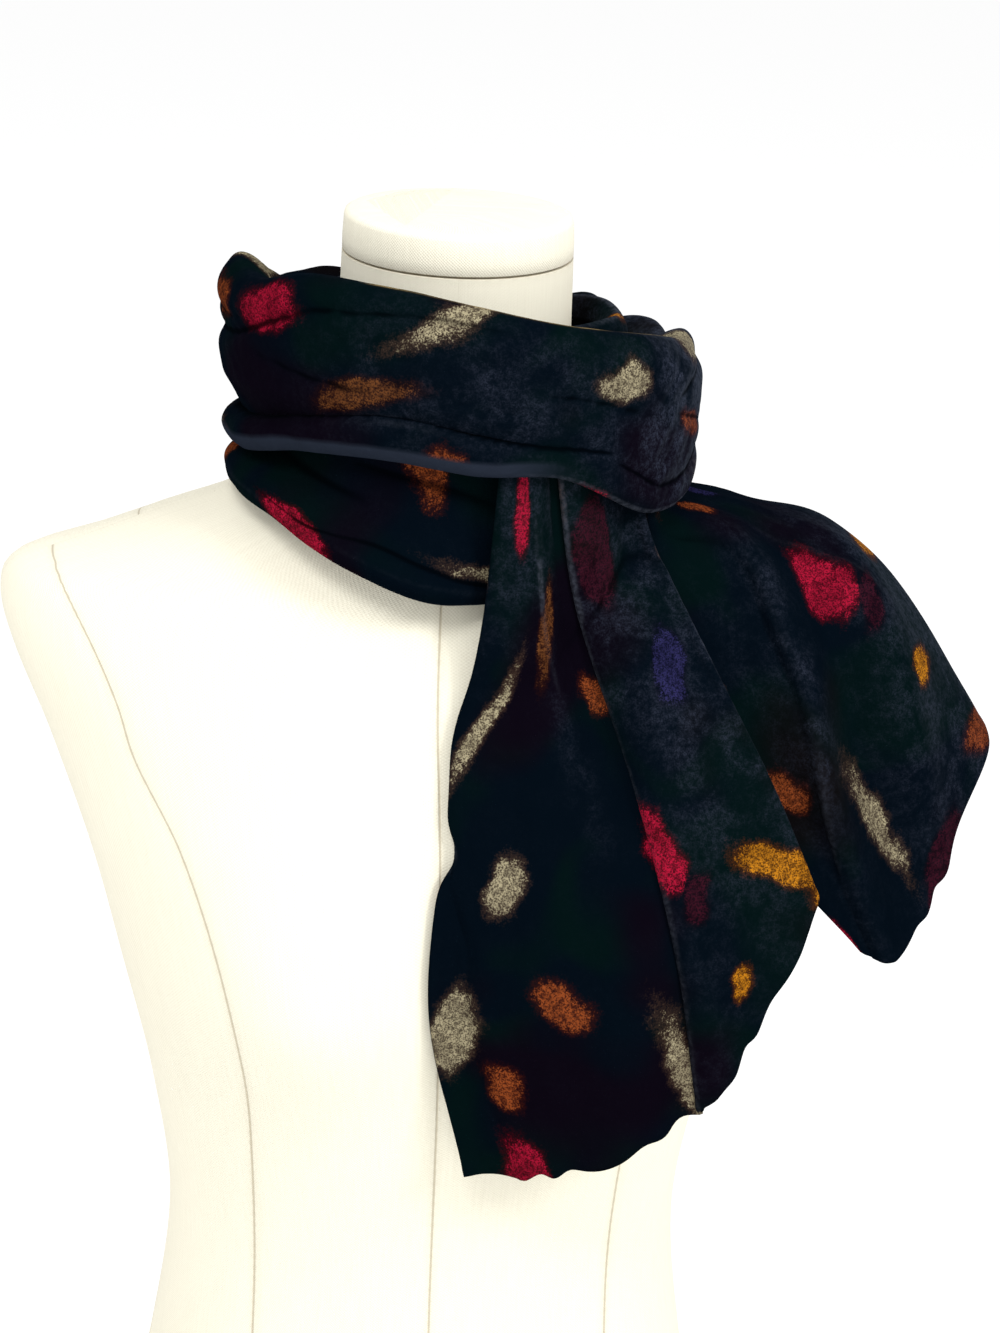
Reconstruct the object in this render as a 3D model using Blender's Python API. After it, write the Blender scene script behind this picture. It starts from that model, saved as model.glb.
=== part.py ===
"""A double-faced velvet scarf wound twice round the neck of a tabletop dress form.

The form stands on a flat board. Its centre line is the Z axis and its front faces -Y. One long
cloth shows as five stretches: the folds close to the neck, the lower wrap, the upper wrap, the
tail that hangs down the front and the tail that lies over the shoulder. Sizes are in metres.
"""

import math

import bpy
import numpy as np

# The cloth: two layers of velvet sewn together all round
WALL = 0.0024

# The form
BOARD_THICKNESS = 0.012
SEAT = 0.0004
NECK_SEAM_HEIGHT = 0.710
NECK_CAP_HEIGHT = 0.018
BUST_HEIGHT = 0.405
BUST_SIDE = 0.072
BUST_RISE = 0.026
FORM_SEGMENTS = 34

# The board: how far up from its underside, and how far in from the form's outline
BOARD_PROFILE = (
    (0.0, 0.006),
    (0.002, 0.004),
    (BOARD_THICKNESS, 0.004),
)
# The cap on the neck: how far up from its seam, and how far in from the neck's side
NECK_CAP_PROFILE = (
    (0.0, 0.0006),
    (0.0008, 0.0),
    (NECK_CAP_HEIGHT - 0.0030, 0.0005),
    (NECK_CAP_HEIGHT - 0.0008, 0.0025),
    (NECK_CAP_HEIGHT, 0.0060),
)

# One row for each level of the form, from its foot to the seam round its neck
# height, half_width, front, back, middle, squareness
FORM_ROWS = (
    (0.012, 0.140, 0.098, 0.110, 0.004, 2.30),
    (0.060, 0.146, 0.101, 0.115, 0.004, 2.30),
    (0.110, 0.143, 0.100, 0.112, 0.004, 2.30),
    (0.170, 0.130, 0.094, 0.099, 0.004, 2.25),
    (0.250, 0.121, 0.088, 0.086, 0.004, 2.20),
    (0.320, 0.130, 0.098, 0.094, 0.004, 2.20),
    (0.385, 0.145, 0.106, 0.101, 0.004, 2.25),
    (0.435, 0.158, 0.104, 0.105, 0.006, 2.25),
    (0.490, 0.177, 0.093, 0.104, 0.009, 2.15),
    (0.530, 0.193, 0.082, 0.098, 0.011, 2.05),
    (0.553, 0.198, 0.074, 0.091, 0.013, 1.95),
    (0.567, 0.191, 0.068, 0.085, 0.013, 1.85),
    (0.577, 0.162, 0.064, 0.081, 0.013, 1.75),
    (0.589, 0.131, 0.060, 0.077, 0.012, 1.65),
    (0.599, 0.102, 0.057, 0.073, 0.011, 1.65),
    (0.611, 0.082, 0.054, 0.068, 0.010, 1.75),
    (0.626, 0.067, 0.052, 0.063, 0.009, 1.90),
    (0.640, 0.058, 0.051, 0.058, 0.007, 2.00),
    (0.660, 0.052, 0.050, 0.055, 0.005, 2.00),
    (0.710, 0.050, 0.050, 0.053, 0.003, 2.00),
)
FORM_LEVELS = (
    BOARD_THICKNESS + SEAT, 0.060, 0.110, 0.165, 0.210, 0.250, 0.290, 0.330, 0.370, 0.405, 0.440, 0.480,
    0.515, 0.540, 0.555, 0.567, 0.578, 0.589, 0.600, 0.611, 0.626, 0.645, 0.675, NECK_SEAM_HEIGHT - SEAT,
)


def eased(rows, at):
    """A smooth curve through the rows, whose first column rises. Returns the other columns."""
    keys = [row[0] for row in rows]
    at = min(max(at, keys[0]), keys[-1])
    k = min(max(np.searchsorted(keys, at, side="right") - 1, 0), len(keys) - 2)
    table = np.array(rows, float)
    span = table[k + 1, 0] - table[k, 0]
    share = (at - table[k, 0]) / span

    def slope(i):
        low = max(i - 1, 0)
        high = min(i + 1, len(keys) - 1)
        return (table[high, 1:] - table[low, 1:]) / (table[high, 0] - table[low, 0])

    p, q = table[k, 1:], table[k + 1, 1:]
    s2, s3 = share * share, share**3
    return (
        (2 * s3 - 3 * s2 + 1) * p
        + (s3 - 2 * s2 + share) * span * slope(k)
        + (3 * s2 - 2 * s3) * q
        + (s3 - s2) * span * slope(k + 1)
    )


def bust_rise(x, height):
    """How far the bust stands out from the ring of the form there."""
    reach_up = 0.062 if height > BUST_HEIGHT else 0.040
    level = math.exp(-0.5 * ((height - BUST_HEIGHT) / reach_up) ** 2)
    side = math.exp(-0.5 * ((abs(x) - BUST_SIDE) / 0.040) ** 2)
    return BUST_RISE * level * side


def form_point(height, turn):
    """A point of the form's cover. Turn 0 faces the front and a quarter turn faces +X."""
    half_width, front, back, middle, squareness = eased(FORM_ROWS, height)
    power = 2 / squareness
    side, ahead = math.sin(turn), math.cos(turn)
    x = half_width * math.copysign(abs(side) ** power, side)
    depth = front if ahead > 0 else back
    y = middle - (depth + (middle if ahead > 0 else -middle)) * math.copysign(abs(ahead) ** power, ahead)
    if ahead > 0:
        y -= bust_rise(x, height) * min(1.0, 1.6 * ahead)
    return x, y, height


def form_front(x, height):
    """The Y of the form's front at that place across it and up it."""
    half_width, front, _, middle, squareness = eased(FORM_ROWS, height)
    share = min(abs(x) / half_width, 0.995)
    ahead = (1 - share**squareness) ** (1 / squareness)
    y = middle - (front + middle) * ahead
    return y - bust_rise(x, height) * min(1.0, 1.6 * ahead ** (squareness / 2))


# The three wraps round the neck, by the turn from the front. Turns are in degrees, +X is at 90.
WRAP_CENTRE_X = 0.003
# turn, top, bottom, radius, tuck_under, drawn in at the bottom
UPPER_RINGS = (
    (-150, 0.682, 0.612, 0.098, 0.009, 0.000),
    (-120, 0.688, 0.6154, 0.101, 0.007, 0.000),
    (-97, 0.702, 0.627, 0.1055, 0.007, 0.002),
    (-75, 0.702, 0.629, 0.1015, 0.007, 0.001),
    (-50, 0.711, 0.6385, 0.098, 0.009, 0.000),
    (-22, 0.7105, 0.642, 0.096, 0.008, 0.000),
    (0, 0.7055, 0.639, 0.0975, 0.005, 0.000),
    (22, 0.698, 0.637, 0.099, 0.003, 0.000),
    (50, 0.689, 0.615, 0.102, 0.003, 0.000),
    (75, 0.679, 0.616, 0.104, 0.003, 0.000),
    (100, 0.672, 0.619, 0.104, 0.004, 0.000),
    (130, 0.671, 0.616, 0.102, 0.006, 0.000),
    (165, 0.676, 0.611, 0.098, 0.009, 0.000),
)
FULL_TUCK = 0.009
# share of the way down the band, inset, the edge it is measured from, lift
UPPER_SECTION = (
    (0.00, 0.0225, "top", -0.011),
    (0.11, 0.0165, "top", -0.003),
    (0.20, 0.0080, "top", 0.000),
    (0.29, 0.0010, "top", -0.009),
    (0.40, 0.0000, "top", -0.021),
    (0.80, 0.0000, "bottom", 0.015),
    (0.89, 0.0005, "bottom", 0.005),
    (0.945, 0.0045, "bottom", 0.000),
    (1.00, FULL_TUCK, "bottom", 0.002),
)
# Creases on a wrap: depth, width above, width below, then its path as turns and heights
UPPER_CREASES = (
    (0.0018, 0.0050, 0.0050, ((-50, 0.700), (-20, 0.699), (14, 0.690))),
    (0.0040, 0.0065, 0.0065, ((-160, 0.668), (-82, 0.677), (-40, 0.696))),
    (0.0080, 0.0110, 0.0050, ((-150, 0.642), (-96, 0.649), (-48, 0.656), (-20, 0.660), (6, 0.652), (30, 0.645))),
    (0.0025, 0.0060, 0.0060, ((46, 0.628), (100, 0.636))),
    (0.0040, 0.0070, 0.0070, ((92, 0.650), (170, 0.642))),
    (0.0030, 0.0065, 0.0065, ((120, 0.662), (205, 0.668))),
    (0.0030, 0.0070, 0.0070, ((150, 0.632), (215, 0.640))),
)
# turn, bottom, radius, share of the full tuck
LOWER_RINGS = (
    (-150, 0.609, 0.084, 1.0),
    (-122, 0.6090, 0.0905, 1.0),
    (-97, 0.6045, 0.1010, 0.4),
    (-78, 0.6055, 0.1015, 0.5),
    (-58, 0.6025, 0.0995, 0.9),
    (-30, 0.590, 0.096, 1.0),
    (-12, 0.581, 0.0925, 1.0),
    (5, 0.577, 0.0815, 1.0),
    (22, 0.578, 0.0805, 1.0),
    (45, 0.593, 0.0805, 1.0),
    (75, 0.616, 0.082, 1.0),
    (105, 0.621, 0.083, 1.0),
    (140, 0.610, 0.083, 1.0),
    (175, 0.605, 0.082, 1.0),
)
# share of the way down, share of the radius at the top, inset, share of the top's height, lift
LOWER_TOP_RADIUS = 0.076
LOWER_TOP_HEIGHT = 0.656
LOWER_SECTION = (
    (0.00, 1.00, 0.0000, 1.00, 0.000),
    (0.28, 0.75, 0.0000, 0.35, 0.012),
    (0.64, 0.00, 0.0020, 0.00, 0.011),
    (0.82, 0.00, 0.0010, 0.00, 0.005),
    (0.91, 0.00, 0.0045, 0.00, 0.000),
    (1.00, 0.00, 0.0095, 0.00, 0.002),
)
# depth, width above, width below, then turns and heights
LOWER_CREASES = (
    (0.0030, 0.0045, 0.0045, ((-52, 0.604), (26, 0.590))),
    (0.0025, 0.0060, 0.0060, ((-95, 0.634), (-30, 0.618))),
    (0.0030, 0.0060, 0.0060, ((-170, 0.632), (-80, 0.636))),
    (0.0030, 0.0060, 0.0060, ((130, 0.630), (215, 0.626))),
)
# turn, top, radius
INNER_RINGS = (
    (-150, 0.687, 0.0668),
    (-100, 0.690, 0.069),
    (-50, 0.694, 0.068),
    (0, 0.694, 0.067),
    (40, 0.690, 0.068),
    (80, 0.686, 0.071),
    (110, 0.683, 0.072),
    (140, 0.681, 0.069),
    (170, 0.683, 0.0668),
)
INNER_PUFF = 0.0015
INNER_PUFFS = 7
# across, inset, from_top
INNER_SECTION = (
    (0.000, 0.009, -0.010),
    (0.009, 0.007, -0.003),
    (0.014, 0.003, 0.000),
    (0.020, 0.000, -0.006),
    (0.034, 0.001, -0.020),
)

# The tail that hangs down the front. Each fold line runs from the knot to the hem.
TAIL_TOP = 0.650
TAIL_TOP_RADIUS = 0.0860
TAIL_TOP_HALF_WIDTH = 0.070
# How far the tail hangs clear of the form's front, and where it swings out from it at its side
HANG_GAP = 0.0027
HANG_SIDE_GAP = 0.0173
HANG_SIDE_STARTS = 0.050
HANG_SIDE_SPAN = 0.040
HANG_TURNS_BACK = 0.095
HANG_BACK_SHARE = 0.68
HANG_STEP = 0.006
HANG_LEAN = 0.0001
# across, then x at the knot, a quarter, half and three quarters of the way, and at the hem,
# the hem's height, and the rise off the form at the knot, halfway and at the hem
TAIL_FOLDS = (
    (0.000, 0.014, 0.009, -0.006, -0.010, 0.0095, 0.325, 0.000, -0.001, 0.000),
    (0.012, 0.018, 0.014, 0.001, 0.000, 0.0195, 0.325, 0.002, 0.001, -0.002),
    (0.026, 0.022, 0.021, 0.011, 0.010, 0.033, 0.328, 0.004, 0.005, 0.003),
    (0.062, 0.029, 0.034, 0.040, 0.047, 0.062, 0.337, 0.004, 0.007, 0.005),
    (0.095, 0.033, 0.044, 0.066, 0.083, 0.096, 0.355, 0.000, 0.001, 0.002),
    (0.107, 0.0375, 0.0510, 0.0765, 0.0965, 0.1105, 0.363, 0.000, 0.000, 0.000),
    (0.114, 0.0370, 0.0500, 0.0755, 0.0955, 0.1090, 0.364, 0.003, 0.0035, 0.003),
    (0.124, 0.0420, 0.0570, 0.0820, 0.1020, 0.1170, 0.366, 0.005, 0.007, 0.005),
    (0.152, 0.055, 0.070, 0.097, 0.121, 0.132, 0.389, 0.004, 0.006, 0.003),
    (0.176, 0.066, 0.079, 0.105, 0.131, 0.1445, 0.420, 0.001, 0.001, 0.004),
    (0.188, 0.072, 0.083, 0.108, 0.133, 0.1545, 0.452, 0.002, 0.002, 0.002),
)

# The tail over the shoulder starts in the fold of the upper wrap. For each fold line there is its
# place across the cloth, then a place (x, y, height) where it leaves the wrap, at a quarter, half
# and three quarters of the way along, and at the hem.
SHOULDER_KNOT_RADIUS = 0.0945
SHOULDER_KNOT_HEIGHT = 0.6241
SHOULDER_STATIONS = (0.0, 0.09, 0.25, 0.5, 0.75, 1.0)
SHOULDER_FOLDS = (
    (
        0.000, (0.081, -0.047, 0.608), (0.0935, -0.0590, 0.568), (0.113, -0.076, 0.520),
        (0.142, -0.081, 0.464), (0.187, -0.070, 0.411),
    ),
    (
        0.026, (0.086, -0.041, 0.609), (0.106, -0.050, 0.581), (0.129, -0.066, 0.537),
        (0.152, -0.076, 0.486), (0.193, -0.069, 0.408),
    ),
    (
        0.048, (0.091, -0.034, 0.609), (0.124, -0.038, 0.592), (0.147, -0.064, 0.547),
        (0.164, -0.078, 0.496), (0.200, -0.070, 0.407),
    ),
    (
        0.066, (0.095, -0.026, 0.609), (0.131, -0.023, 0.593), (0.161, -0.043, 0.557),
        (0.180, -0.054, 0.502), (0.211, -0.054, 0.414),
    ),
    (
        0.096, (0.099, -0.010, 0.607), (0.137, -0.008, 0.595), (0.182, -0.028, 0.573),
        (0.207, -0.046, 0.522), (0.229, -0.042, 0.446),
    ),
    (
        0.132, (0.100, 0.010, 0.606), (0.136, 0.014, 0.595), (0.176, 0.016, 0.584),
        (0.211, 0.004, 0.552), (0.256, -0.003, 0.492),
    ),
    (
        0.164, (0.096, 0.028, 0.604), (0.132, 0.044, 0.588), (0.171, 0.046, 0.571),
        (0.205, 0.038, 0.536), (0.243, 0.034, 0.480),
    ),
    (
        0.210, (0.091, 0.050, 0.600), (0.127, 0.084, 0.554), (0.162, 0.076, 0.530),
        (0.194, 0.068, 0.506), (0.226, 0.060, 0.452),
    ),
)

# How finely each stretch is drawn: places round or across it and places down it
UPPER_GRID = (54, 19)
LOWER_GRID = (46, 11)
INNER_GRID = (36, 8)
TAIL_STEP = 0.0065
TAIL_ROWS = 24
SHOULDER_STEP = 0.0100
SHOULDER_ROWS = 23


def all_round(rows, turn):
    """Reads a table of rings at any turn, going round past its ends."""
    low = [(row[0] - 360, *row[1:]) for row in rows[-2:]]
    high = [(row[0] + 360, *row[1:]) for row in rows[:2]]
    while turn >= rows[0][0] + 360:
        turn -= 360
    while turn < rows[0][0]:
        turn += 360
    return eased((*low, *rows, *high), turn)


def creased(creases, turn, height):
    """How far the cloth is drawn in by the creases at that place on a wrap."""
    total = 0.0
    for depth, above, below, path in creases:
        for lap in (-360, 0, 360):
            share = (turn + lap - path[0][0]) / (path[-1][0] - path[0][0])
            if 0 < share < 1:
                away = height - eased(path, turn + lap)[0]
                width = above if away > 0 else below
                total += depth * math.sin(math.pi * share) ** 0.5 * math.exp(-((away / width) ** 2))
    return total


def round_place(turn, radius, height):
    angle = math.radians(turn)
    return (WRAP_CENTRE_X + radius * math.sin(angle), -radius * math.cos(angle), height)


def upper_place(turn, share):
    top, bottom, radius, tuck, drawn = all_round(UPPER_RINGS, turn)
    section = []
    for at, inset, edge, lift in UPPER_SECTION:
        if edge == "top":
            section.append((at, radius - inset, top + lift))
        else:
            section.append((at, radius - drawn - inset * tuck / FULL_TUCK, bottom + lift))
    at_radius, height = eased(section, share)
    return round_place(turn, at_radius - creased(UPPER_CREASES, turn, height), height)


def lower_place(turn, share):
    bottom, radius, tuck = all_round(LOWER_RINGS, turn)
    section = []
    for at, top_radius, inset, top_height, lift in LOWER_SECTION:
        out = top_radius * LOWER_TOP_RADIUS + (1 - top_radius) * radius - inset * tuck
        up = top_height * LOWER_TOP_HEIGHT + (1 - top_height) * (bottom + lift)
        section.append((at, out, up))
    at_radius, height = eased(section, share)
    return round_place(turn, at_radius - creased(LOWER_CREASES, turn, height), height)


def inner_place(turn, share):
    top, radius = all_round(INNER_RINGS, turn)
    inset, from_top = eased(INNER_SECTION, share * INNER_SECTION[-1][0])
    puff = INNER_PUFF * math.sin(math.radians(turn * INNER_PUFFS)) * (1 - share)
    return round_place(turn, radius - inset + puff, top + from_top + puff)


def hang(x, height):
    """The Y of cloth that hangs plumb over the front from the knot down."""
    over = x - HANG_BACK_SHARE * max(x - HANG_TURNS_BACK, 0.0)
    share = min(max((x - HANG_SIDE_STARTS) / HANG_SIDE_SPAN, 0), 1)
    gap = HANG_GAP + HANG_SIDE_GAP * share * share * (3 - 2 * share)
    across = min(x, TAIL_TOP_HALF_WIDTH) - WRAP_CENTRE_X
    out = -math.sqrt(TAIL_TOP_RADIUS**2 - across**2)
    level = TAIL_TOP
    while level > height:
        level = max(level - HANG_STEP, height)
        out = min(out + HANG_LEAN, form_front(over, level) - gap)
    return out


def tail_place(across, along):
    """A place on the front tail. Across runs from 0 to 1, along from the knot to the hem."""
    knot, quarter, middle, low, hem, hem_height, *rises = eased(TAIL_FOLDS, across * TAIL_FOLDS[-1][0])
    x = eased(((0, knot), (0.25, quarter), (0.5, middle), (0.75, low), (1, hem)), along)[0]
    height = TAIL_TOP + (hem_height - TAIL_TOP) * along
    rise = eased(tuple(zip((0, 0.5, 1), rises)), along)[0]
    return x, hang(x, height) - rise, height


def shoulder_place(across, along):
    """A place on the tail that lies over the shoulder. It starts inside the upper wrap."""
    lines = []
    for line, leaves, *rest in SHOULDER_FOLDS:
        turn = math.degrees(math.atan2(leaves[0] - WRAP_CENTRE_X, -leaves[1]))
        starts = round_place(turn, SHOULDER_KNOT_RADIUS, SHOULDER_KNOT_HEIGHT)
        route = [(at, *place) for at, place in zip(SHOULDER_STATIONS, (starts, leaves, *rest))]
        lines.append((line, *eased(route, along)))
    return tuple(eased(lines, across * SHOULDER_FOLDS[-1][0]))


def make_object(name, points, faces, material):
    mesh = bpy.data.meshes.new(name)
    mesh.from_pydata([tuple(map(float, p)) for p in points], [], faces)
    mesh.shade_smooth()
    mesh.set_sharp_from_angle(angle=math.radians(50))
    mesh.materials.append(material)
    item = bpy.data.objects.new(name, mesh)
    bpy.context.scene.collection.objects.link(item)
    return item


def make_material(name, colour, roughness):
    material = bpy.data.materials.new(name)
    material.use_nodes = True
    shader = material.node_tree.nodes["Principled BSDF"]
    shader.inputs["Base Color"].default_value = (*colour, 1)
    shader.inputs["Roughness"].default_value = roughness
    shader.inputs["Metallic"].default_value = 0
    return material


def lofted(name, rings, material):
    """A closed body through rings of the same number of points, listed from the foot up."""
    count = len(rings[0])
    points = [p for ring in rings for p in ring]
    faces = []
    for level in range(len(rings) - 1):
        for i in range(count):
            j = (i + 1) % count
            low, high = level * count, (level + 1) * count
            faces.append((low + i, low + j, high + j, high + i))
    faces.append(tuple(range(count - 1, -1, -1)))
    last = (len(rings) - 1) * count
    faces.append(tuple(last + i for i in range(count)))
    return make_object(name, points, faces, material)


def directions(places, axis, ring):
    """The way the cloth runs at each place, halfway between the step before and the step after."""
    ahead = np.roll(places, -1, axis=axis) - places
    ahead /= np.linalg.norm(ahead, axis=2, keepdims=True)
    behind = np.roll(ahead, 1, axis=axis)
    if not ring:
        ahead = np.moveaxis(ahead, axis, 0)
        behind = np.moveaxis(behind, axis, 0)
        ahead[-1] = behind[-1]
        behind[0] = ahead[0]
        ahead = np.moveaxis(ahead, 0, axis)
        behind = np.moveaxis(behind, 0, axis)
    return ahead + behind


def walled(name, grid, ring, material):
    """Cloth of even thickness through a grid of places. A ring joins its last row to its first."""
    middle = np.array(grid, float)
    normal = np.cross(directions(middle, 0, ring), directions(middle, 1, False))
    normal /= np.linalg.norm(normal, axis=2, keepdims=True)
    rows, columns = middle.shape[:2]
    faced = (middle + normal * WALL / 2).reshape(-1, 3)
    backed = (middle - normal * WALL / 2).reshape(-1, 3)
    points = np.concatenate([faced, backed])
    shift = rows * columns
    faces = []

    def at(row, column):
        return (row % rows) * columns + column

    last_row = rows if ring else rows - 1
    for row in range(last_row):
        for column in range(columns - 1):
            corners = [at(row, column), at(row + 1, column), at(row + 1, column + 1), at(row, column + 1)]
            faces.append(corners)
            faces.append([shift + c for c in reversed(corners)])
        for column, turned in ((0, True), (columns - 1, False)):
            low, high = at(row, column), at(row + 1, column)
            strip = [low, high, shift + high, shift + low]
            faces.append(strip[::-1] if turned else strip)
    if not ring:
        for row, turned in ((0, False), (rows - 1, True)):
            for column in range(columns - 1):
                low, high = at(row, column), at(row, column + 1)
                strip = [low, high, shift + high, shift + low]
                faces.append(strip[::-1] if turned else strip)
    return make_object(name, points, [tuple(f) for f in faces], material)


def ring_grid(place, size):
    turns_count, across_count = size
    return [
        [place(-180 + 360 * i / turns_count, j / (across_count - 1)) for j in range(across_count)]
        for i in range(turns_count)
    ]


def sheet_grid(place, folds, step, rows):
    """A grid of places whose lines run along every fold, with more lines where folds lie far apart."""
    width = folds[-1][0]
    lines = [0.0]
    for low, high in zip(folds, folds[1:]):
        parts = max(1, round((high[0] - low[0]) / step))
        lines += [low[0] + (high[0] - low[0]) * (i + 1) / parts for i in range(parts)]
    return [[place(line / width, j / (rows - 1)) for j in range(rows)] for line in lines]


def turns(count):
    return [2 * math.pi * i / count for i in range(count)]


def inset_ring(form_height, inset, height):
    """The form's outline at one height, drawn in by an inset and set at another height."""
    half_width, _, _, middle, _ = eased(FORM_ROWS, form_height)
    scale = 1 - inset / half_width
    ring = []
    for turn in turns(FORM_SEGMENTS):
        x, y, _ = form_point(form_height, turn)
        ring.append((x * scale, middle + (y - middle) * scale, height))
    return ring


def make_form(linen, wood):
    rings = [[form_point(height, turn) for turn in turns(FORM_SEGMENTS)] for height in FORM_LEVELS]
    lofted("dress_form_body", rings, linen)
    cap = [inset_ring(NECK_SEAM_HEIGHT, inset, NECK_SEAM_HEIGHT + up) for up, inset in NECK_CAP_PROFILE]
    lofted("dress_form_neck_cap", cap, linen)
    board = [inset_ring(FORM_LEVELS[0], inset, up) for up, inset in BOARD_PROFILE]
    lofted("dress_form_board", board, wood)


def make_scarf(velvet):
    walled("neck_wrap_upper", ring_grid(upper_place, UPPER_GRID), True, velvet)
    walled("neck_wrap_lower", ring_grid(lower_place, LOWER_GRID), True, velvet)
    walled("neck_wrap_inner", ring_grid(inner_place, INNER_GRID), True, velvet)
    front = sheet_grid(tail_place, TAIL_FOLDS, TAIL_STEP, TAIL_ROWS)
    walled("front_tail", front, False, velvet)
    over = sheet_grid(shoulder_place, SHOULDER_FOLDS, SHOULDER_STEP, SHOULDER_ROWS)
    walled("shoulder_tail", over, False, velvet)


def main():
    for item in list(bpy.data.objects):
        bpy.data.objects.remove(item)
    linen = make_material("linen", (0.86, 0.82, 0.72), 0.9)
    wood = make_material("wood", (0.50, 0.33, 0.18), 0.5)
    velvet = make_material("velvet", (0.006, 0.008, 0.014), 0.8)
    make_form(linen, wood)
    make_scarf(velvet)


main()
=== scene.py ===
import math

import bpy
import numpy as np
from mathutils import Matrix


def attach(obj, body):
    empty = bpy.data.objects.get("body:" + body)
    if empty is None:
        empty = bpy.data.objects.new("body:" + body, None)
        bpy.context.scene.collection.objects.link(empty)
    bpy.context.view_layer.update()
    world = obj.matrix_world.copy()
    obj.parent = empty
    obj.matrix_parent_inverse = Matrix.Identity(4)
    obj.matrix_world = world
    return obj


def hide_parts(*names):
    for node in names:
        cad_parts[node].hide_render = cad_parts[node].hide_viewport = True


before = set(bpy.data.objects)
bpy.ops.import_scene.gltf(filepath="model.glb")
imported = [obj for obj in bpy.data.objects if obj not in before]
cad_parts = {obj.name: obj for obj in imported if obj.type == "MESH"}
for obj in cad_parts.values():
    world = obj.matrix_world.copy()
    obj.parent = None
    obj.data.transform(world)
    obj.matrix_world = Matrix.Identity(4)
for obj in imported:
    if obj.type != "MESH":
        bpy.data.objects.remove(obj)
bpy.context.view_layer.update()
print("frame loaded")


# Smooth curves through short tables

def eased(keys, values, at):
    keys = np.array(keys, float)
    values = np.array(values, float)
    at = np.clip(np.atleast_1d(np.array(at, float)), keys[0], keys[-1])
    low = np.clip(np.searchsorted(keys, at, side="right") - 1, 0, len(keys) - 2)
    order = np.arange(len(keys))
    before = np.maximum(order - 1, 0)
    after = np.minimum(order + 1, len(keys) - 1)
    shape = (-1,) + (1,) * (values.ndim - 1)
    slopes = (values[after] - values[before]) / (keys[after] - keys[before]).reshape(shape)
    span = (keys[low + 1] - keys[low]).reshape(shape)
    share = ((at - keys[low]).reshape(shape)) / span
    square = share ** 2
    cube = share ** 3
    return (
        (2 * cube - 3 * square + 1) * values[low]
        + (cube - 2 * square + share) * span * slopes[low]
        + (3 * square - 2 * cube) * values[low + 1]
        + (cube - square) * span * slopes[low + 1]
    )


def fromTable(rows, at):
    table = np.array(rows, float)
    return eased(table[:, 0], table[:, 1:], at)


def allRound(rows, turns):  # a table of rings, read past its ends
    low = [(row[0] - 360, *row[1:]) for row in rows[-2:]]
    high = [(row[0] + 360, *row[1:]) for row in rows[:2]]
    wrapped = rows[0][0] + np.mod(np.array(turns, float) - rows[0][0], 360)
    return fromTable((*low, *rows, *high), wrapped)


def smooth(low, high, at):
    share = np.clip((at - low) / (high - low), 0, 1)
    return share * share * (3 - 2 * share)


def ripple(u, v, wave, seed):  # an uneven, gentle up and down between about -1 and 1
    total = 0
    for k in range(5):
        lean = seed * 1.7 + k * 2.399
        reach = wave * (0.62 + 0.21 * k)
        along = u * math.cos(lean) + v * math.sin(lean)
        total = total + np.sin(along * 2 * math.pi / reach + seed * k * 3.1)
    return total / 3


def rippled(ripples, u, v):  # each ripple has a height, a wave and a seed
    return sum(height * ripple(u, v, wave, seed) for height, wave, seed in ripples)


# How much painted sheen the pile gets where it lies over and catches the light. Each patch has a strength and
# ramps. A ramp has a field, a start and an end, or only a field that is taken as it is.
def sheenPatches(patches, **fields):
    total = 0
    for strength, *ramps in patches:
        patch = strength
        for field, *ends in ramps:
            patch = patch * (smooth(*ends, fields[field]) if ends else fields[field])
        total = total + patch
    return total


def crowded(count, length, rim):  # places from 0 to 1, closer together at both ends
    close = np.array([0, 0.12, 0.35, 0.7, 1.1, 1.7]) * rim / length
    middle = np.linspace(2.6 * rim / length, 1 - 2.6 * rim / length, count - 2 * len(close))
    return np.concatenate([close, middle, 1 - close[::-1]])


# Meshes

def keepMesh(name, points, faces, material):
    mesh = bpy.data.meshes.new(name)
    mesh.from_pydata(points.reshape(-1, 3).tolist(), [], faces)
    mesh.shade_smooth()
    mesh.materials.append(material)
    piece = bpy.data.objects.new(name, mesh)
    bpy.context.scene.collection.objects.link(piece)
    return piece


def paint(piece, name, kind, values):
    layer = piece.data.attributes.new(name, kind, "POINT")
    field = {"FLOAT": "value", "FLOAT_VECTOR": "vector", "FLOAT_COLOR": "color"}[kind]
    layer.data.foreach_set(field, np.ascontiguousarray(values, np.float32).ravel())


def runs(places, axis, ringed):  # the way the cloth runs, halfway between the steps on either side
    ahead = np.roll(places, -1, axis=axis) - places
    ahead = ahead / np.maximum(np.linalg.norm(ahead, axis=2, keepdims=True), 1e-9)
    behind = np.roll(ahead, 1, axis=axis)
    if not ringed:
        ahead = np.moveaxis(ahead, axis, 0)
        behind = np.moveaxis(behind, axis, 0)
        ahead[-1] = behind[-1]
        behind[0] = ahead[0]
        ahead = np.moveaxis(ahead, 0, axis)
        behind = np.moveaxis(behind, 0, axis)
    return ahead + behind


def outward(places, ringed):
    across = np.cross(runs(places, 1, False), runs(places, 0, ringed))
    return across / np.maximum(np.linalg.norm(across, axis=2, keepdims=True), 1e-9)


def fromEnds(places, axis):  # how far along its line each place is, and how far from the nearer end
    steps = np.linalg.norm(np.diff(places, axis=axis), axis=2)
    start = np.zeros(places.shape[:2])
    index = [slice(None), slice(None)]
    index[axis] = slice(1, None)
    start[tuple(index)] = np.cumsum(steps, axis=axis)
    whole = np.take(start, [-1], axis=axis)
    return start, np.minimum(start, whole - start)


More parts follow.
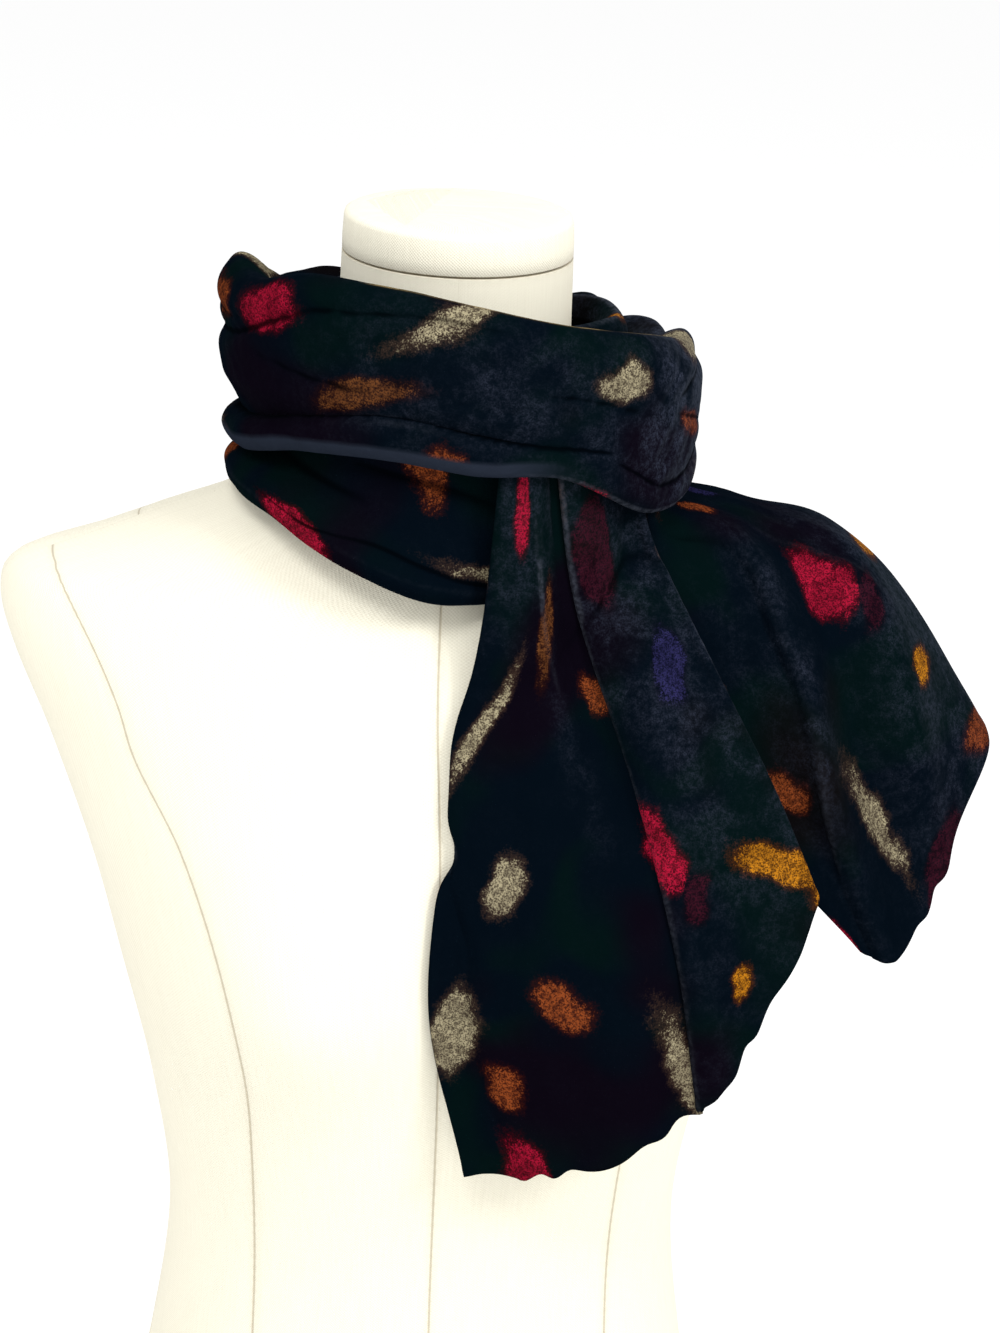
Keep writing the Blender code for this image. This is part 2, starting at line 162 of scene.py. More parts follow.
def bent(places, ringed):  # how sharply the cloth folds outward, as one over the radius of the fold
    normal = outward(places, ringed)
    total = np.zeros(places.shape[:2])
    for axis in (0, 1):
        ahead = np.roll(places, -1, axis=axis) - places
        behind = places - np.roll(places, 1, axis=axis)
        length = np.linalg.norm(ahead, axis=2) + np.linalg.norm(behind, axis=2)
        leaving = ahead / np.maximum(np.linalg.norm(ahead, axis=2, keepdims=True), 1e-9)
        arriving = behind / np.maximum(np.linalg.norm(behind, axis=2, keepdims=True), 1e-9)
        curve = -((leaving - arriving) * normal).sum(axis=2) / np.maximum(length / 2, 1e-9)
        if axis == 1 or not ringed:
            curve = np.moveaxis(curve, axis, 0)
            curve[0] = curve[-1] = 0
            curve = np.moveaxis(curve, 0, axis)
        sharper = np.where(np.abs(curve) > np.abs(total), curve, total)
        total = np.maximum(total, np.abs(curve)) * np.sign(sharper)
    for _ in range(2):
        total[:, 1:-1] = (total[:, :-2] + 2 * total[:, 1:-1] + total[:, 2:]) / 4
        total[1:-1] = (total[:-2] + 2 * total[1:-1] + total[2:]) / 4
    return total


def slotted(piece, node):
    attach(piece, "root")
    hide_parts(node)


# Shader parts

def nodeIn(tree, kind, label, settings=None, sockets=None):
    node = tree.nodes.new(kind)
    node.label = label
    for name, value in (settings or {}).items():
        setattr(node, name, value)
    for name, value in (sockets or {}).items():
        node.inputs[name].default_value = value
    return node


def maths(tree, operation, first, second):
    node = nodeIn(tree, "ShaderNodeMath", operation.lower(), {"operation": operation})
    for socket, value in zip(node.inputs, (first, second)):
        if isinstance(value, (int, float)):
            socket.default_value = value
        else:
            tree.links.new(value, socket)
    return node.outputs[0]


def times(tree, first, *others):
    for other in others:
        first = maths(tree, "MULTIPLY", first, other)
    return first


def ranged(tree, value, low, high, outLow, outHigh, label="", smoothly=True):
    kind = "SMOOTHSTEP" if smoothly else "LINEAR"
    node = nodeIn(tree, "ShaderNodeMapRange", label, {"interpolation_type": kind})
    for name, number in (("From Min", low), ("From Max", high), ("To Min", outLow), ("To Max", outHigh)):
        node.inputs[name].default_value = number
    tree.links.new(value, node.inputs["Value"])
    return node.outputs["Result"]


def bumped(tree, height, label, strength, depth, over=None):
    node = nodeIn(tree, "ShaderNodeBump", label, None, {"Strength": strength, "Distance": depth})
    tree.links.new(height, node.inputs["Height"])
    if over is not None:
        tree.links.new(over, node.inputs["Normal"])
    return node.outputs["Normal"]


def mixed(tree, factor, first, second, label="", blend="MIX"):
    node = nodeIn(tree, "ShaderNodeMix", label, {"data_type": "RGBA", "blend_type": blend})
    for socket, value in ((node.inputs[0], factor), (node.inputs[6], first), (node.inputs[7], second)):
        if isinstance(value, (int, float, tuple)):
            socket.default_value = value
        else:
            tree.links.new(value, socket)
    return node.outputs[2]


def read(tree, name, output="Fac"):
    return nodeIn(tree, "ShaderNodeAttribute", name, {"attribute_name": name}).outputs[output]


def noise(tree, where, scale, label, detail=2.0, roughness=0.5, distortion=0.0):
    node = nodeIn(tree, "ShaderNodeTexNoise", label, None, {
        "Scale": scale, "Detail": detail, "Roughness": roughness, "Distortion": distortion,
    })
    if where is not None:
        tree.links.new(where, node.inputs["Vector"])
    return node


def newGroup(name, inputs, outputs):
    tree = bpy.data.node_groups.new(name, "ShaderNodeTree")
    for label, kind, value in inputs:
        socket = tree.interface.new_socket(label, in_out="INPUT", socket_type=kind)
        if value is not None:
            socket.default_value = value
    for label, kind in outputs:
        tree.interface.new_socket(label, in_out="OUTPUT", socket_type=kind)
    return tree, tree.nodes.new("NodeGroupInput"), tree.nodes.new("NodeGroupOutput")


# The tips of a pile or of fibres, light and dark, with broader patches where it lies over
def makePileSpeckle():
    tree, given, out = newGroup("pileSpeckle", (
        ("Vector", "NodeSocketVector", None),
        ("Tip Scale", "NodeSocketFloat", 1500.0),
        ("Tuft Scale", "NodeSocketFloat", 420.0),
        ("Patch Scale", "NodeSocketFloat", 55.0),
    ), (("Tips", "NodeSocketFloat"), ("Tufts", "NodeSocketFloat"), ("Patches", "NodeSocketFloat")))
    for scale, output, detail, distortion in (
        ("Tip Scale", "Tips", 1.0, 0.0),
        ("Tuft Scale", "Tufts", 3.0, 0.0),
        ("Patch Scale", "Patches", 4.0, 0.4),
    ):
        texture = noise(tree, given.outputs["Vector"], 1.0, output, detail, 0.6, distortion)
        tree.links.new(given.outputs[scale], texture.inputs["Scale"])
        tree.links.new(texture.outputs["Fac"], out.inputs[output])
    return tree


def makeSeamLine():  # a sewn seam: a thin groove, a soft hollow beside it and small stitches across it
    tree, given, out = newGroup("seamLine", (
        ("Distance", "NodeSocketFloat", 0.02),
        ("Along", "NodeSocketFloat", 0.0),
        ("Groove Width", "NodeSocketFloat", 0.0006),
        ("Stitch Length", "NodeSocketFloat", 0.0028),
    ), (("Groove", "NodeSocketFloat"), ("Hollow Shade", "NodeSocketFloat"), ("Stitch", "NodeSocketFloat")))
    away = maths(tree, "ABSOLUTE", given.outputs["Distance"], 0.0)
    share = maths(tree, "DIVIDE", away, given.outputs["Groove Width"])
    tree.links.new(ranged(tree, share, 0.25, 1.0, 1.0, 0.0, "groove"), out.inputs["Groove"])
    tree.links.new(ranged(tree, share, 0.5, 7.0, 1.0, 0.0, "hollow"), out.inputs["Hollow Shade"])
    steps = maths(tree, "DIVIDE", given.outputs["Along"], given.outputs["Stitch Length"])
    wave = maths(tree, "PINGPONG", steps, 1.0)
    near = ranged(tree, share, 1.0, 2.4, 1.0, 0.0, "beside")
    stitch = times(tree, ranged(tree, wave, 0.35, 0.75, 0.0, 1.0), near)
    tree.links.new(stitch, out.inputs["Stitch"])
    return tree


def makeThreadWeave():  # a plain weave of uneven threads, over and under
    tree, given, out = newGroup("threadWeave", (
        ("Vector", "NodeSocketVector", None),
        ("Threads", "NodeSocketFloat", 1400.0),
    ), (("Weave", "NodeSocketFloat"), ("Slubs", "NodeSocketFloat")))
    split = nodeIn(tree, "ShaderNodeSeparateXYZ", "across and up")
    tree.links.new(given.outputs["Vector"], split.inputs[0])
    wander = noise(tree, given.outputs["Vector"], 160.0, "wander", 2.0)
    shift = times(tree, wander.outputs["Fac"], 1.4)
    across = maths(tree, "ADD", times(tree, split.outputs["X"], given.outputs["Threads"]), shift)
    up = maths(tree, "ADD", times(tree, split.outputs["Y"], given.outputs["Threads"]), shift)
    first = maths(tree, "SINE", times(tree, across, math.pi), 0.0)
    second = maths(tree, "SINE", times(tree, up, math.pi), 0.0)
    crossed = times(tree, first, second)
    tree.links.new(ranged(tree, crossed, -1.0, 1.0, 0.0, 1.0, "over and under", False), out.inputs["Weave"])
    stretched = nodeIn(tree, "ShaderNodeMapping", "slubs run up", None, {"Scale": (900.0, 45.0, 1.0)})
    tree.links.new(given.outputs["Vector"], stretched.inputs["Vector"])
    slubs = noise(tree, stretched.outputs["Vector"], 1.0, "slubs", 3.0)
    tree.links.new(slubs.outputs["Fac"], out.inputs["Slubs"])
    return tree


pileSpeckle = makePileSpeckle()
seamLine = makeSeamLine()
threadWeave = makeThreadWeave()


def grouped(tree, group, label, feeds):
    node = tree.nodes.new("ShaderNodeGroup")
    node.node_tree = group
    node.label = label
    for name, value in feeds.items():
        if isinstance(value, (int, float)):
            node.inputs[name].default_value = value
        else:
            tree.links.new(value, node.inputs[name])
    return node


def newMaterial(name):
    material = bpy.data.materials.new(name)
    material.use_nodes = True
    return material, material.node_tree, material.node_tree.nodes["Principled BSDF"]


# Velvet: a near-black ground with clouds of dark dye and printed spots, with painted light: slate sheen where
# the pile lies over, sheen at grazing edges and on fold crests, and shade in the creases
velvetLook = {
    "ground": (0.0008, 0.0025, 0.005, 1),
    "pine": (0.0007, 0.004, 0.0042, 1),
    "plum": (0.0023, 0.0014, 0.0036, 1),
    "umber": (0.003, 0.0022, 0.0024, 1),
    # The next six colours are painted light: pile sheen, grazing sheen, fold highlights, crease shade,
    # rolled-edge sheen and a top-rim highlight
    "paintedSheen": (0.024, 0.029, 0.046, 1),
    "rim": (0.026, 0.031, 0.042, 1),
    "foldHighlight": (0.042, 0.047, 0.062, 1),
    "creaseShade": (0.0003, 0.0007, 0.0012, 1),
    "rolledEdgeSheen": (0.013, 0.017, 0.027, 1),
    "rimEdgeGlintColour": (0.5, 0.36, 0.15, 1),
    "halo": (0.16, 0.1, 0.1, 1),
    "roughness": 0.85,
    "sheenTint": (0.45, 0.62, 0.85, 1),
    "sheenWeight": 0.004,
    "sheenRoughness": 0.3,
    "pileDepth": 0.0005,
    "crushDepth": 0.002,
}


def makeVelvet():
    look = velvetLook
    material, tree, shader = newMaterial("velvet")
    here = nodeIn(tree, "ShaderNodeTexCoord", "on the cloth").outputs["Object"]
    pile = grouped(tree, pileSpeckle, "pile", {
        "Vector": here, "Tip Scale": 1400.0, "Tuft Scale": 420.0, "Patch Scale": 62.0,
    })
    tips = pile.outputs["Tips"]
    tufts = pile.outputs["Tufts"]
    patches = pile.outputs["Patches"]
    paintedSheen = read(tree, "paintedSheen")
    band = read(tree, "band")
    outsideCreaseShade = ranged(tree, read(tree, "creaseShade"), 0.0, 1.0, 1.0, 0.0, "away from creases", False)

    clouds = noise(tree, here, 13.0, "clouds of dye", 2.0, 0.5, 0.6).outputs["Fac"]
    otherClouds = noise(tree, here, 9.0, "more clouds", 2.0, 0.5, 0.3).outputs["Fac"]
    colour = mixed(tree, ranged(tree, clouds, 0.48, 0.6, 0.0, 1.0), look["ground"], look["pine"])
    colour = mixed(tree, ranged(tree, otherClouds, 0.55, 0.66, 0.0, 1.0), colour, look["plum"])
    colour = mixed(tree, ranged(tree, otherClouds, 0.42, 0.32, 0.0, 0.9), colour, look["umber"])
    # Painted sheen: slate where the pile lies over and catches the light, broken up by the pile, none in the
    # crease shade
    sheenMask = times(
        tree, paintedSheen, ranged(tree, patches, 0.38, 0.64, 0.12, 1.0), ranged(tree, tufts, 0.32, 0.68, 0.2, 1.0),
        ranged(tree, tips, 0.32, 0.68, 0.35, 1.45), outsideCreaseShade,
    )
    colour = mixed(tree, sheenMask, colour, look["paintedSheen"], "paintedSheen")
    # Painted sheen: the pile is painted lighter where it is seen edge-on
    facing = nodeIn(tree, "ShaderNodeLayerWeight", "painted grazing sheen", None, {"Blend": 0.5})
    rim = times(
        tree, ranged(tree, facing.outputs["Facing"], 0.45, 0.95, 0.0, 1.0),
        ranged(tree, tufts, 0.3, 0.7, 0.3, 1.0), ranged(tree, paintedSheen, 0.05, 0.7, 0.04, 1.0),
    )
    colour = mixed(tree, rim, colour, look["rim"], "rim")
    # Painted highlight on the crests of folds, where the pile opens and catches the light
    fold = times(
        tree, read(tree, "fold"), ranged(tree, tufts, 0.35, 0.65, 0.3, 1.0),
        ranged(tree, paintedSheen, 0.02, 0.4, 0.25, 1.0),
    )
    colour = mixed(tree, fold, colour, look["foldHighlight"], "lit folds")

    edge = read(tree, "spot")
    for mottle in (tips, tufts):
        edge = maths(tree, "ADD", edge, ranged(tree, mottle, 0.2, 0.8, -1.5, 1.5, "mottled edge", False))
    tint = read(tree, "spotTint", "Color")
    strength = read(tree, "ink")
    halo = times(tree, ranged(tree, edge, -3.2, 0.4, 0.0, 0.45, "halo"), strength)
    deep = mixed(tree, 1.0, tint, look["halo"], "deep dye", "MULTIPLY")
    colour = mixed(tree, halo, colour, deep, "halo")
    # The spots are painted darker in creases too, as painted shade
    ink = times(
        tree, ranged(tree, edge, -0.5, 1.9, 0.0, 1.0, "inside a spot"), strength,
        ranged(tree, tips, 0.36, 0.6, 0.16, 1.0), ranged(tree, tufts, 0.34, 0.56, 0.35, 1.0),
        ranged(tree, patches, 0.4, 0.58, 0.62, 1.0),
        ranged(tree, outsideCreaseShade, 0.0, 1.0, 0.35, 1.0, "spots in painted crease shade", False),
    )
    colour = mixed(tree, ink, colour, tint, "spots")
    # Painted shade in the creases
    colour = mixed(tree, times(tree, read(tree, "creaseShade"), 0.75), colour, look["creaseShade"], "creases")
    # A painted amber highlight where the upper wrap's top rim edge catches the light
    colour = mixed(tree, times(tree, read(tree, "rimEdgeGlint"), tufts), colour, look["rimEdgeGlintColour"], "painted highlight on the top rim")
    # The rolled lower edge: the nap lies smooth there, and its lighter colour is a painted sheen
    colour = mixed(tree, band, colour, look["rolledEdgeSheen"], "rolled edge with painted sheen")
    tree.links.new(colour, shader.inputs["Base Color"])

    crush = noise(tree, here, 75.0, "crushed pile", 3.0, 0.55, 0.5)
    crushed = bumped(tree, crush.outputs["Fac"], "crushed pile", 0.5, look["crushDepth"])
    upright = times(tree, tufts, ranged(tree, band, 0.0, 1.0, 1.0, 0.0))
    tipped = bumped(tree, upright, "pile tips", 0.6, look["pileDepth"], crushed)
    tree.links.new(tipped, shader.inputs["Normal"])
    shader.inputs["Roughness"].default_value = look["roughness"]
    shader.inputs["Specular IOR Level"].default_value = 0.0
    shader.inputs["Sheen Weight"].default_value = look["sheenWeight"]
    shader.inputs["Sheen Roughness"].default_value = look["sheenRoughness"]
    shader.inputs["Sheen Tint"].default_value = look["sheenTint"]
    return material


# Linen: cream, closely woven, with sewn seams, and painted shade in the soft hollow beside each seam
linenLook = {
    "cream": (0.81, 0.775, 0.645, 1),
    "shade": (0.69, 0.65, 0.52, 1),
    "seam": (0.42, 0.36, 0.25, 1),
    "threads": 1500.0,
    "roughness": 0.92,
    "grooveWidth": 0.0007,
    "stitchLength": 0.003,
    "threadDepth": 0.0003,
    "seams": ("seamCentre", "seamSide", "seamFlank", "seamRim"),
}


def makeLinen():
    look = linenLook
    material, tree, shader = newMaterial("linen")
    flat = read(tree, "flat", "Vector")
    weave = grouped(tree, threadWeave, "weave", {"Vector": flat, "Threads": look["threads"]})
    fuzz = grouped(tree, pileSpeckle, "fuzz", {
        "Vector": flat, "Tip Scale": 1300.0, "Tuft Scale": 260.0, "Patch Scale": 14.0,
    })
    threads = times(tree, weave.outputs["Weave"], 0.45)
    for part, share in ((weave.outputs["Slubs"], 0.4), (fuzz.outputs["Patches"], 0.18)):
        threads = maths(tree, "ADD", threads, times(tree, part, share))
    thin = ranged(tree, threads, 0.25, 0.66, 0.7, 0.0)
    colour = mixed(tree, thin, look["cream"], look["shade"], "threads")
    height = maths(tree, "ADD", weave.outputs["Weave"], times(tree, weave.outputs["Slubs"], 0.8))
    for name in look["seams"]:
        along = "seamAround" if name == "seamRim" else "seamUp"
        seam = grouped(tree, seamLine, name, {
            "Distance": read(tree, name), "Along": read(tree, along),
            "Groove Width": look["grooveWidth"], "Stitch Length": look["stitchLength"],
        })
        # The soft hollow beside each seam is darkened as painted shade; the groove and stitches are the
        # seam's own colour
        for output, strength in (("Hollow Shade", 0.1), ("Groove", 0.7), ("Stitch", 0.1)):
            colour = mixed(tree, times(tree, seam.outputs[output], strength), colour, look["seam"], output)
        height = maths(tree, "SUBTRACT", height, times(tree, seam.outputs["Groove"], 2.5))
    tree.links.new(colour, shader.inputs["Base Color"])
    tree.links.new(bumped(tree, height, "threads", 0.45, look["threadDepth"]), shader.inputs["Normal"])
    shader.inputs["Roughness"].default_value = look["roughness"]
    shader.inputs["Specular IOR Level"].default_value = 0.1
    shader.inputs["Sheen Weight"].default_value = 0.05
    return material


# The board: pale varnished wood, its grain across the form
boardLook = {
    "light": (0.56, 0.37, 0.2, 1),
    "dark": (0.34, 0.19, 0.085, 1),
    "roughness": (0.38, 0.55),
    "grainDepth": 0.0004,
}


def makeBoardWood():
    look = boardLook
    material, tree, shader = newMaterial("boardWood")
    here = nodeIn(tree, "ShaderNodeTexCoord", "in the wood").outputs["Object"]
    stretched = nodeIn(tree, "ShaderNodeMapping", "grain runs across", None, {"Scale": (1.4, 22.0, 14.0)})
    tree.links.new(here, stretched.inputs["Vector"])
    rings = noise(tree, stretched.outputs["Vector"], 3.0, "rings", 6.0, 0.6, 1.2)
    pores = grouped(tree, pileSpeckle, "pores", {
        "Vector": stretched.outputs["Vector"], "Tip Scale": 90.0, "Tuft Scale": 40.0, "Patch Scale": 2.0,
    })
    grain = ranged(tree, rings.outputs["Fac"], 0.36, 0.64, 0.0, 1.0)
    grain = times(tree, grain, ranged(tree, pores.outputs["Tufts"], 0.3, 0.6, 0.7, 1.0))
    tree.links.new(mixed(tree, grain, look["light"], look["dark"], "grain"), shader.inputs["Base Color"])
    tree.links.new(ranged(tree, grain, 0.0, 1.0, *look["roughness"]), shader.inputs["Roughness"])
    tree.links.new(bumped(tree, grain, "grain", 0.25, look["grainDepth"]), shader.inputs["Normal"])
    return material


velvet = makeVelvet()
linen = makeLinen()
boardWood = makeBoardWood()
print("materials made")


# The print: one repeat of soft-edged spots, charted on the flat cloth, in metres
amber = (0.46, 0.175, 0.008)
crimson = (0.3, 0.006, 0.026)
ivory = (0.31, 0.27, 0.17)
rust = (0.23, 0.052, 0.013)
sienna = (0.12, 0.042, 0.012)
wine = (0.034, 0.004, 0.01)
dusk = (0.02, 0.018, 0.075)
spotPrint = {
    "width": 0.21,
    "length": 0.3,
    "wander": 0.0016,
    # across, along, half length, half width, lean in degrees, strength, colour
    "spots": (
        (0.036, 0.03, 0.02, 0.0115, 20, 0.95, crimson),
        (0.05, 0.054, 0.011, 0.007, -30, 0.8, wine),
        (0.098, 0.052, 0.023, 0.008, 64, 0.85, amber),
        (0.11, 0.064, 0.009, 0.0065, 20, 0.95, amber),
        (0.168, 0.036, 0.0125, 0.0085, -10, 0.9, ivory),
        (0.066, 0.098, 0.0062, 0.0056, 0, 1.0, amber),
        (0.14, 0.104, 0.0225, 0.012, -24, 0.92, ivory),
        (0.16, 0.128, 0.01, 0.0075, 15, 0.85, rust),
        (0.19, 0.088, 0.013, 0.0075, 40, 0.8, rust),
        (0.022, 0.136, 0.029, 0.0042, 12, 0.95, ivory),
        (0.09, 0.15, 0.015, 0.008, 74, 0.75, rust),
        (0.16, 0.172, 0.0185, 0.0105, 8, 0.85, crimson),
        (0.052, 0.196, 0.027, 0.015, -8, 0.85, wine),
        (0.118, 0.206, 0.0115, 0.0078, 32, 0.9, ivory),
        (0.196, 0.226, 0.022, 0.007, -18, 0.85, sienna),
        (0.08, 0.256, 0.018, 0.0105, -42, 0.8, dusk),
        (0.02, 0.262, 0.011, 0.0075, 60, 0.85, rust),
        (0.148, 0.268, 0.03, 0.0046, -34, 0.95, ivory),
        (0.118, 0.286, 0.01, 0.007, 10, 0.8, sienna),
    ),
}


# How far inside the nearest spot each place is, in millimetres, with the spot's strength and colour
def spotFields(flat):
    best = np.full(flat.shape[:-1], -30.0)
    strength = np.zeros(flat.shape[:-1])
    tint = np.zeros((*flat.shape[:-1], 4))
    tint[..., 3] = 1
    width = spotPrint["width"]
    length = spotPrint["length"]
    u = flat[..., 0] + spotPrint["wander"] * ripple(flat[..., 0], flat[..., 1], 0.019, 21)
    v = flat[..., 1] + spotPrint["wander"] * ripple(flat[..., 0], flat[..., 1], 0.023, 34)
    for across, along, halfLength, halfWidth, lean, ink, colour in spotPrint["spots"]:
        du = np.mod(u - across + width / 2, width) - width / 2
        dv = np.mod(v - along + length / 2, length) - length / 2
        angle = math.radians(lean)
        ahead = dv * math.cos(angle) + du * math.sin(angle)
        aside = du * math.cos(angle) - dv * math.sin(angle)
        aside = aside + 0.14 * halfWidth * np.sin(ahead / halfLength * 2.6 + across * 40)
        inside = (1 - np.sqrt((ahead / halfLength) ** 2 + (aside / halfWidth) ** 2)) * halfWidth * 1000
        better = inside > best
        best = np.where(better, inside, best)
        strength = np.where(better, ink, strength)
        tint[better, :3] = colour
    return best, strength, tint


# How every stretch of the scarf is made up
clothMake = {
    "wall": 0.0024,
    "rim": 0.0013,
    "plump": 0.0004,
    "plumpFrom": 0.0035,
    "plumpReach": 0.0018,
    "plumpFades": 0.0015,
    # Limits of the painted fold highlights and crease shade, and how much painted sheen each side gets
    "foldFrom": 150.0,
    "foldTo": 700.0,
    "creaseShadeFrom": 15.0,
    "creaseShadeTo": 170.0,
    "sheenOut": 0.68,
    "sheenIn": 0.45,
    "otherSide": (0.117, 0.083),
}


def edgeStrip(low, high, shift, turned):
    strip = np.stack([low, high, high + shift, low + shift], axis=-1)
    return strip[:, ::-1] if turned else strip


def shellFaces(rows, columns, ringed):  # both sides of a grid of places, and the edges between them
    shift = rows * columns
    lastRow = rows if ringed else rows - 1
    i, j = np.meshgrid(np.arange(lastRow), np.arange(columns - 1), indexing="ij")
    low = i * columns + j
    high = (i + 1) % rows * columns + j
    front = np.stack([low, high, high + 1, low + 1], axis=-1).reshape(-1, 4)
    strips = [front[:, ::-1], front + shift]
    k = np.arange(lastRow)
    for column, turned in ((0, False), (columns - 1, True)):
        strips.append(edgeStrip(k * columns + column, (k + 1) % rows * columns + column, shift, turned))
    if not ringed:
        for row, turned in ((0, True), (rows - 1, False)):
            low = row * columns + np.arange(columns - 1)
            strips.append(edgeStrip(low, low + 1, shift, turned))
    return np.concatenate(strips).tolist()


# A thin shell on both sides of a grid of places. Its open edges round off, and a tail's swell a little at the
# seam.
def makeCloth(name, middle, flat, paintedSheen, ringed, band=0.0, rimEdgeGlint=0.0):
    make = clothMake
    normal = outward(middle, ringed)
    half = np.full(middle.shape[:2], make["wall"] / 2)
    for axis in ((1,) if ringed else (0, 1)):
        near = fromEnds(middle, axis)[1]
        share = np.clip(near / make["rim"], 0, 1)
        half *= np.sqrt(np.clip(1 - (1 - share) ** 2, 0, 1)) * 0.92 + 0.08
        if not ringed:
            swell = np.exp(-((near - make["plumpFrom"]) / make["plumpReach"]) ** 2)
            half += make["plump"] * (swell * smooth(0, make["plumpFades"], near))
    sides = np.stack([middle + normal * half[..., None], middle - normal * half[..., None]])
    faces = shellFaces(*middle.shape[:2], ringed)
    piece = keepMesh(name, sides, faces, velvet)
    spot, ink, tint = spotFields(np.stack([flat + np.array(make["otherSide"]), flat]))
    fold = bent(middle, ringed)
    folds = np.stack([fold, -fold])
    nothing = np.zeros(middle.shape[:2])
    paintedSheen = paintedSheen + nothing
    paint(piece, "spot", "FLOAT", spot)
    paint(piece, "ink", "FLOAT", ink)
    paint(piece, "spotTint", "FLOAT_COLOR", tint)
    # Painted light: highlights on fold crests, shade in creases, sheen on the pile, on the rolled edge and
    # along the top rim
    paint(piece, "fold", "FLOAT", smooth(make["foldFrom"], make["foldTo"], folds))
    paint(piece, "creaseShade", "FLOAT", smooth(make["creaseShadeFrom"], make["creaseShadeTo"], -folds))
    paint(piece, "paintedSheen", "FLOAT", np.stack([paintedSheen * make["sheenOut"], paintedSheen * make["sheenIn"]]))
    paint(piece, "band", "FLOAT", np.stack([band + nothing, nothing]))
    paint(piece, "rimEdgeGlint", "FLOAT", np.stack([rimEdgeGlint + nothing, nothing]))
    print(name, "has", len(faces) * 2, "triangles")
    return piece


# A crease has a depth, a width on its higher side and on its lower side, and a path: pairs of how far along
# and how far across. On a wrap these are turns and heights. A minus depth is a ridge.
def creased(creases, along, across, laps=(0,)):
    total = np.zeros(np.broadcast(along, across).shape)
    for depth, above, below, path in creases:
        for lap in laps:
            at = along + lap
            share = np.clip((at - path[0][0]) / (path[-1][0] - path[0][0]), 0, 1)
            away = across - fromTable(path, np.ravel(at))[:, 0].reshape(np.shape(at))
            width = np.where(away > 0, above, below)
            total = total + depth * np.sin(math.pi * share) ** 0.5 * np.exp(-np.abs(away / width) ** 1.7)
    return total


# A step: the cloth drops by a depth on one side of a path, sharply, and comes back over a reach
def stepped(steps, along, across):
    total = np.zeros(np.broadcast(along, across).shape)
    for depth, sharp, reach, side, path in steps:
        share = np.clip((along - path[0][0]) / (path[-1][0] - path[0][0]), 0, 1)
        away = side * (across - fromTable(path, np.ravel(along))[:, 0].reshape(np.shape(along)))
        drop = smooth(-sharp, sharp, away) * np.exp(-np.maximum(away, 0) / reach)
        total = total + depth * np.sin(math.pi * share) ** 0.5 * drop
    return total


allLaps = (-360, 0, 360)
wrapCentreX = 0.003


def roundPlace(turn, radius, height):
    angle = np.radians(turn)
    x = wrapCentreX + radius * np.sin(angle)
    return np.stack([x, -radius * np.cos(angle), height + 0 * angle], axis=-1)


def wrapGrid(made):  # turns round the neck, and shares of the way down the cloth
    turns = np.linspace(-180, 180, made["around"], endpoint=False)
    return turns, crowded(made["down"], made["clothDown"], clothMake["rim"])


def wrapFlat(made, turns, shares):  # where each place lies on the flat cloth
    start, first = made["printFrom"]
    lap = (turns + 180) / 360 * made["repeats"] * spotPrint["length"]
    across = start + shares[None, :] * made["clothDown"]
    return np.stack(np.broadcast_arrays(across, first + lap[:, None]), axis=-1)


def wrapRipples(made, turn, up):  # ripples that close up at the back
    aside = made["rippleRadius"] * np.sin(np.radians(turn))
    ahead = made["rippleRadius"] * np.cos(np.radians(turn))
    return rippled(made["ripples"], aside, up + ahead)


def makeWrap(name, node, made, out, up, band=0.0, edge=0.0):
    turns, shares = wrapGrid(made)
    turn = turns[:, None]
    share = shares[None, :]
    middle = roundPlace(turn + 0 * share, out, up)
    paintedSheen = sheenPatches(made["paintedSheen"], turn=turn, share=share)
    piece = makeCloth(name, middle, wrapFlat(made, turns, shares), paintedSheen, True, band, edge)
    slotted(piece, node)
    return piece


